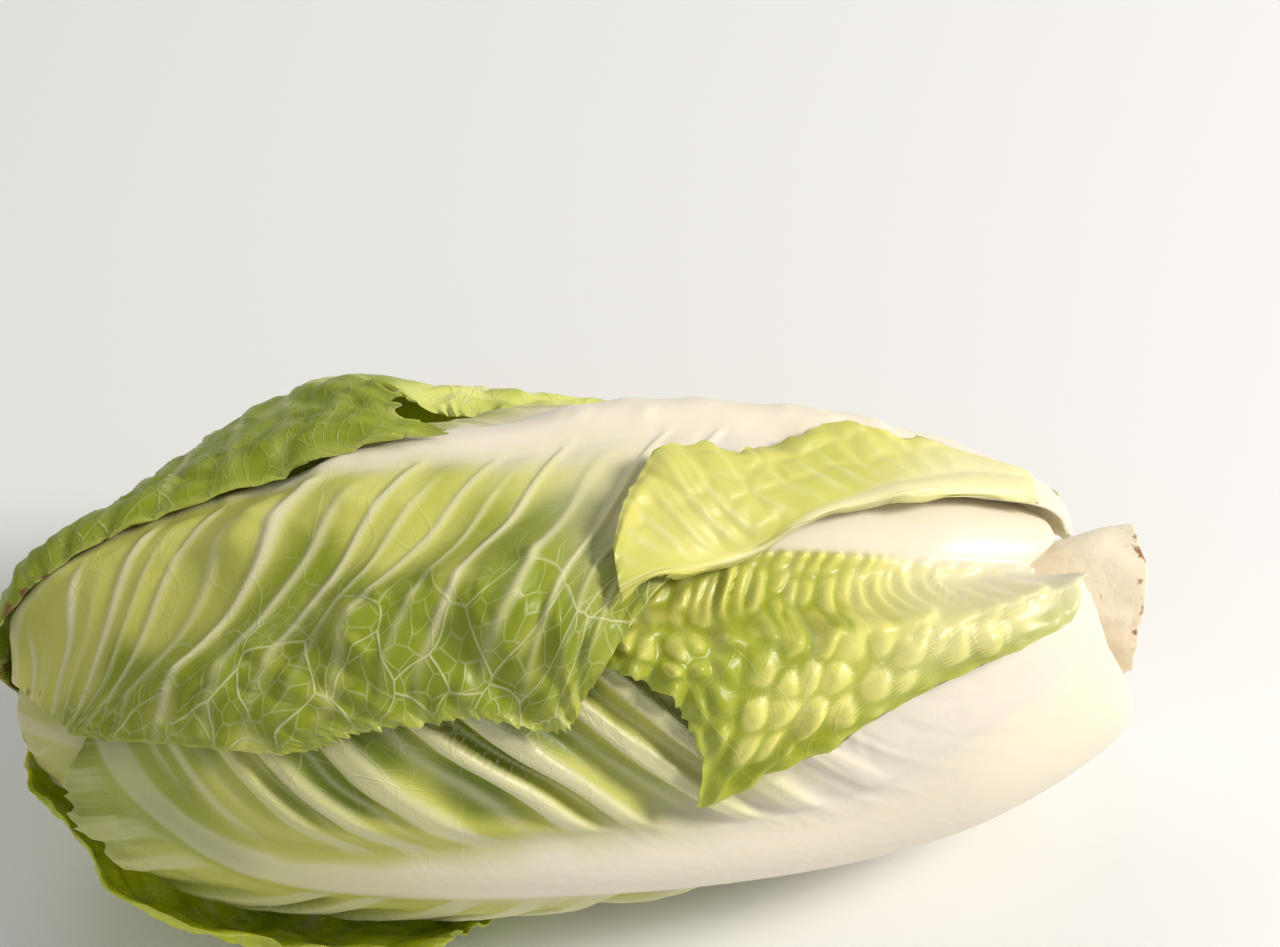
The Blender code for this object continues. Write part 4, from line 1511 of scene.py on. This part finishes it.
OUTER_LEAVES = (
    Leaf(
        "rear_low_leaf",
        HIDDEN,
        "hidden_leaf",
        turn=-128,
        base=148,
        tip=14,
        level=0.7,
        left=REAR_WIDTHS,
        right=REAR_WIDTHS,
        rib=4,
        finer=(2, 2),
        seed=2,
    ),
    Leaf(
        "rear_high_leaf",
        HIDDEN,
        "hidden_leaf",
        turn=154,
        base=150,
        tip=18,
        level=0.8,
        left=REAR_WIDTHS,
        right=REAR_WIDTHS,
        rib=4,
        finer=(2, 2),
        seed=3,
    ),
    Leaf(
        "tip_leaf",
        PALE,
        "hidden_leaf",
        turn=30,
        base=146,
        tip=2,
        level=0.74,
        left=(13, 16, 24, 34, 39, 39, 36, 32, 22),
        right=(13, 16, 24, 34, 39, 39, 36, 32, 22),
        rib=3.5,
        rib_width=9,
        tip_lift=7,
        finer=(2, 2),
        seed=4,
    ),
    Leaf(
        "belly_leaf",
        RIBBED,
        "belly_leaf",
        turn=-12,
        base=155.5,
        tip=23,
        wrap=(60, 82),
        level=0.93,
        left=(18, 28, 37, 46, 48, 38, 23, 13, 5),
        right=(22, 42, 52, 57, 58, 54, 44, 28, 6),
        course=(-1, -3, -7, -1, 5, 6, 8, 19, 30),
        rib=8,
        rib_width=19,
        belly=8,
        belly_side=-0.2,
        rise=0.06,
        surface=Surface(
            Relief.FURROWED,
            ribs=13,
            height=4.0,
            core=1.4,
            sweep=1.25,
            start=10.0,
            ruffle=1.0,
            net_start=0.3,
            ivory_end=0.42,
            ivory_across=14.0,
        ),
        finer=(6, 4),
        seed=5,
    ),
    Leaf(
        "crinkled_leaf",
        GLOSSY,
        "crinkled_leaf",
        turn=85,
        base=154,
        tip=55,
        wrap=(40, 60),
        slant=17,
        level=0.8,
        belly=5,
        rise=0.08,
        left=(18, 34, 44, 36, 27, 20, 14, 8, 4),
        right=(16, 20, 23, 26, 28, 28, 22, 13, 4),
        lead=14,
        rib=5.5,
        rib_width=12,
        surface=Surface(
            Relief.BLISTERED,
            height=2.6,
            ribs=12,
            core=1.2,
            blister_size=(5.2, 5.6),
            sweep=0.3,
            ruffle=3.0,
            ruffle_length=15.0,
            lobe=4.0,
            lobe_length=15.0,
            tooth=0.5,
            ivory_end=0.2,
            ivory_across=3.0,
            margin_depth=0.35,
        ),
        lines=59,
        columns=33,
        finer=(5, 5),
        seed=6,
    ),
    Leaf(
        "top_leaf",
        LIME,
        "top_leaf",
        turn=113,
        base=155,
        tip=10,
        wrap=(25, 60),
        level=0.88,
        left=(9, 14, 32, 54, 55, 49, 49, 42, 20),
        right=(16, 20, 31, 46, 54, 51, 41, 27, 10),
        course=(4, 4, 6, 3, -4, -2, 3, 0, -4),
        rib=5,
        rib_width=9,
        lift=3,
        surface=Surface(
            height=1.6,
            ribs=14,
            sweep=0.75,
            core=1.7,
            blisters=0.6,
            blister_size=(6.5, 6.0),
            tooth=0.8,
            ivory_end=0.46,
            ivory_across=11.0,
            brown_tip=0.3,
            margin_depth=0.75,
        ),
        finer=(6, 4),
        seed=7,
    ),
    Leaf(
        "torn_leaf",
        YELLOW,
        "torn_leaf",
        turn=85,
        base=143,
        tip=92,
        level=0.7,
        left=(3, 3, 2, 1.5, 1.5, 1.5, 1.5, 1.5, 2),
        right=(3, 6, 11, 14, 13, 17, 17, 13, 5),
        course=(12, 8, 4, 0, -6, -14, -18, -20, -24),
        lead=6,
        rib=2.2,
        rib_width=2.0,
        least_rib=0.3,
        flare=5,
        wrap=(6, 10),
        surface=Surface(
            Relief.SMOOTH,
            height=0.5,
            ribs=16,
            blisters=0.5,
            ruffle=1.2,
            ruffle_length=11.0,
            lobe=2.6,
            lobe_length=8.0,
            tooth=0.5,
            ivory_end=0.34,
            ivory_across=1.5,
            net_start=0.2,
        ),
        lines=57,
        columns=21,
        finer=(4, 4),
        seed=8,
    ),
    Leaf(
        "back_leaf",
        MID_GREEN,
        "back_leaf",
        turn=190,
        base=153,
        tip=3,
        level=0.84,
        left=(17, 20, 25, 32, 40, 49, 54, 40, 15),
        right=(17, 21, 31, 45, 53, 53, 44, 29, 12),
        puff=11,
        curl=7,
        surface=Surface(
            height=1.4,
            ribs=12,
            blisters=0.9,
            blister_size=(10.0, 9.0),
            net_start=0.25,
            brown_tip=0.5,
            ruffle=1.2,
            tooth=1.8,
            tooth_length=5.0,
            # Painted shade: this tip faces away from the key light.
            painted_tip_shade=0.9,
        ),
        seed=9,
    ),
    Leaf(
        "under_leaf",
        OLIVE,
        "under_leaf",
        turn=-100,
        base=155,
        tip=8,
        belly=2,
        level=0.86,
        left=(16, 21, 30, 42, 49, 47, 39, 26, 9),
        right=(16, 23, 29, 34, 42, 49, 47, 35, 14),
        rib=6,
        flare=6,
        rests=True,
        surface=Surface(height=1.2, ribs=11, blisters=0.4, net_start=0.3, ruffle=2.2, ruffle_length=19.0, tooth=0.7),
        seed=10,
    ),
)


@dataclass(frozen=True)
class SoftLight:
    """A square soft light that points at the heart. Its place and size are in metres."""

    name: str
    place: tuple[float, float, float]
    size: float
    power: float
    colour: Colour


SOFT_LIGHTS = (
    SoftLight("key", (1.05, -0.25, 0.85), size=0.4, power=16.0, colour=(1.0, 0.95, 0.88)),
    SoftLight("fill", (-0.5, -1.1, 0.9), size=0.9, power=2.0, colour=(0.97, 0.98, 1.0)),
    SoftLight("back", (-0.1, 0.9, 1.0), size=0.7, power=2.5, colour=(1.0, 1.0, 1.0)),
)


def level_axes(forward: Vector) -> tuple[Vector, Vector]:
    """Right and up for a level camera that looks along forward."""
    right = forward.cross(Vector((0, 0, 1))).normalized()
    return right, right.cross(forward)


@dataclass
class Studio:
    """The floor, the lights and the camera."""

    floor_size: float = 6.0
    lens: float = 100.0
    sensor: float = 36.0
    distance: float = 0.712
    elevation: float = 50.0
    azimuth: float = -6.5
    image: tuple[int, int] = (1280, 947)
    head_at: tuple[float, float] = (578.0, 652.0)  # the head's middle in the image
    surrounding: float = 0.34  # brightness of the even surrounding
    aim: tuple[float, float, float] = (0.0, 0.0, 0.05)  # where the lights point

    def lay_floor(self) -> None:
        """Adds the floor."""
        half = self.floor_size / 2
        mesh = bpy.data.meshes.new("floor")
        mesh.from_pydata([(-half, -half, 0), (half, -half, 0), (half, half, 0), (-half, half, 0)], [], [(0, 1, 2, 3)])
        mesh.materials.append(FloorFinish().make())
        floor = bpy.data.objects.new("floor", mesh)
        bpy.context.scene.collection.objects.link(floor)
        log.info("floor: %.0f m square", self.floor_size)

    def add_light(self, soft: SoftLight) -> None:
        """Adds a soft light that points at the heart.

        Args:
            soft: Its place, size, power and colour.
        """
        light = bpy.data.lights.new(soft.name, "AREA")
        light.size = soft.size
        light.energy = soft.power
        light.color = soft.colour
        lamp = bpy.data.objects.new(soft.name, light)
        lamp.location = soft.place
        away = Vector(self.aim) - Vector(soft.place)
        lamp.rotation_euler = away.to_track_quat("-Z", "Y").to_euler()
        bpy.context.scene.collection.objects.link(lamp)

    def light(self) -> None:
        """Adds the soft lights and an even surrounding."""
        for soft in SOFT_LIGHTS:
            self.add_light(soft)
        world = bpy.data.worlds.new("surrounding")
        world.use_nodes = True
        background = world.node_tree.nodes["Background"]
        background.inputs["Color"].default_value = (1.0, 1.0, 1.0, 1.0)
        background.inputs["Strength"].default_value = self.surrounding
        bpy.context.scene.world = world
        bpy.context.scene.view_settings.view_transform = "Standard"

    def aim_camera(self) -> None:
        """Adds the camera at the photograph's distance and angle, turned so that the head lies where it does there."""
        elevation, azimuth = math.radians(self.elevation), math.radians(self.azimuth)
        back = Vector(
            (
                math.sin(azimuth) * math.cos(elevation),
                -math.cos(azimuth) * math.cos(elevation),
                math.sin(elevation),
            )
        )
        place = Vector(HEAD_PLACE) + back * self.distance
        right, up = level_axes(-back)
        focal = self.lens / self.sensor * self.image[0]
        across = (self.head_at[0] - self.image[0] / 2) / focal
        above = -(self.head_at[1] - self.image[1] / 2) / focal
        forward = (-back - across * right - above * up).normalized()
        right, up = level_axes(forward)
        data = bpy.data.cameras.new("camera")
        data.lens = self.lens
        data.sensor_width = self.sensor
        camera = bpy.data.objects.new("camera", data)
        camera.matrix_world = Matrix.Translation(place) @ Matrix((right, up, -forward)).transposed().to_4x4()
        bpy.context.scene.collection.objects.link(camera)
        bpy.context.scene.camera = camera


def main() -> None:
    """Builds the stem, the leaves in their layers and the studio."""
    logging.basicConfig(level=logging.INFO, format="%(message)s")
    stem = Stem()
    stem.dress(stem.build(StemFinish().make()))
    leaves = [inner_leaf(index) for index in range(INNER_LEAVES)] + list(OUTER_LEAVES)
    materials = {finish.name: finish.make() for finish in {leaf.finish.name: leaf.finish for leaf in leaves}.values()}
    head = Head()
    for leaf in leaves:
        made = LeafPiece(leaf)
        made.dress(made.build(head, materials[leaf.finish.name]))
    studio = Studio()
    studio.lay_floor()
    studio.light()
    studio.aim_camera()


if __name__ == "__main__":
    main()
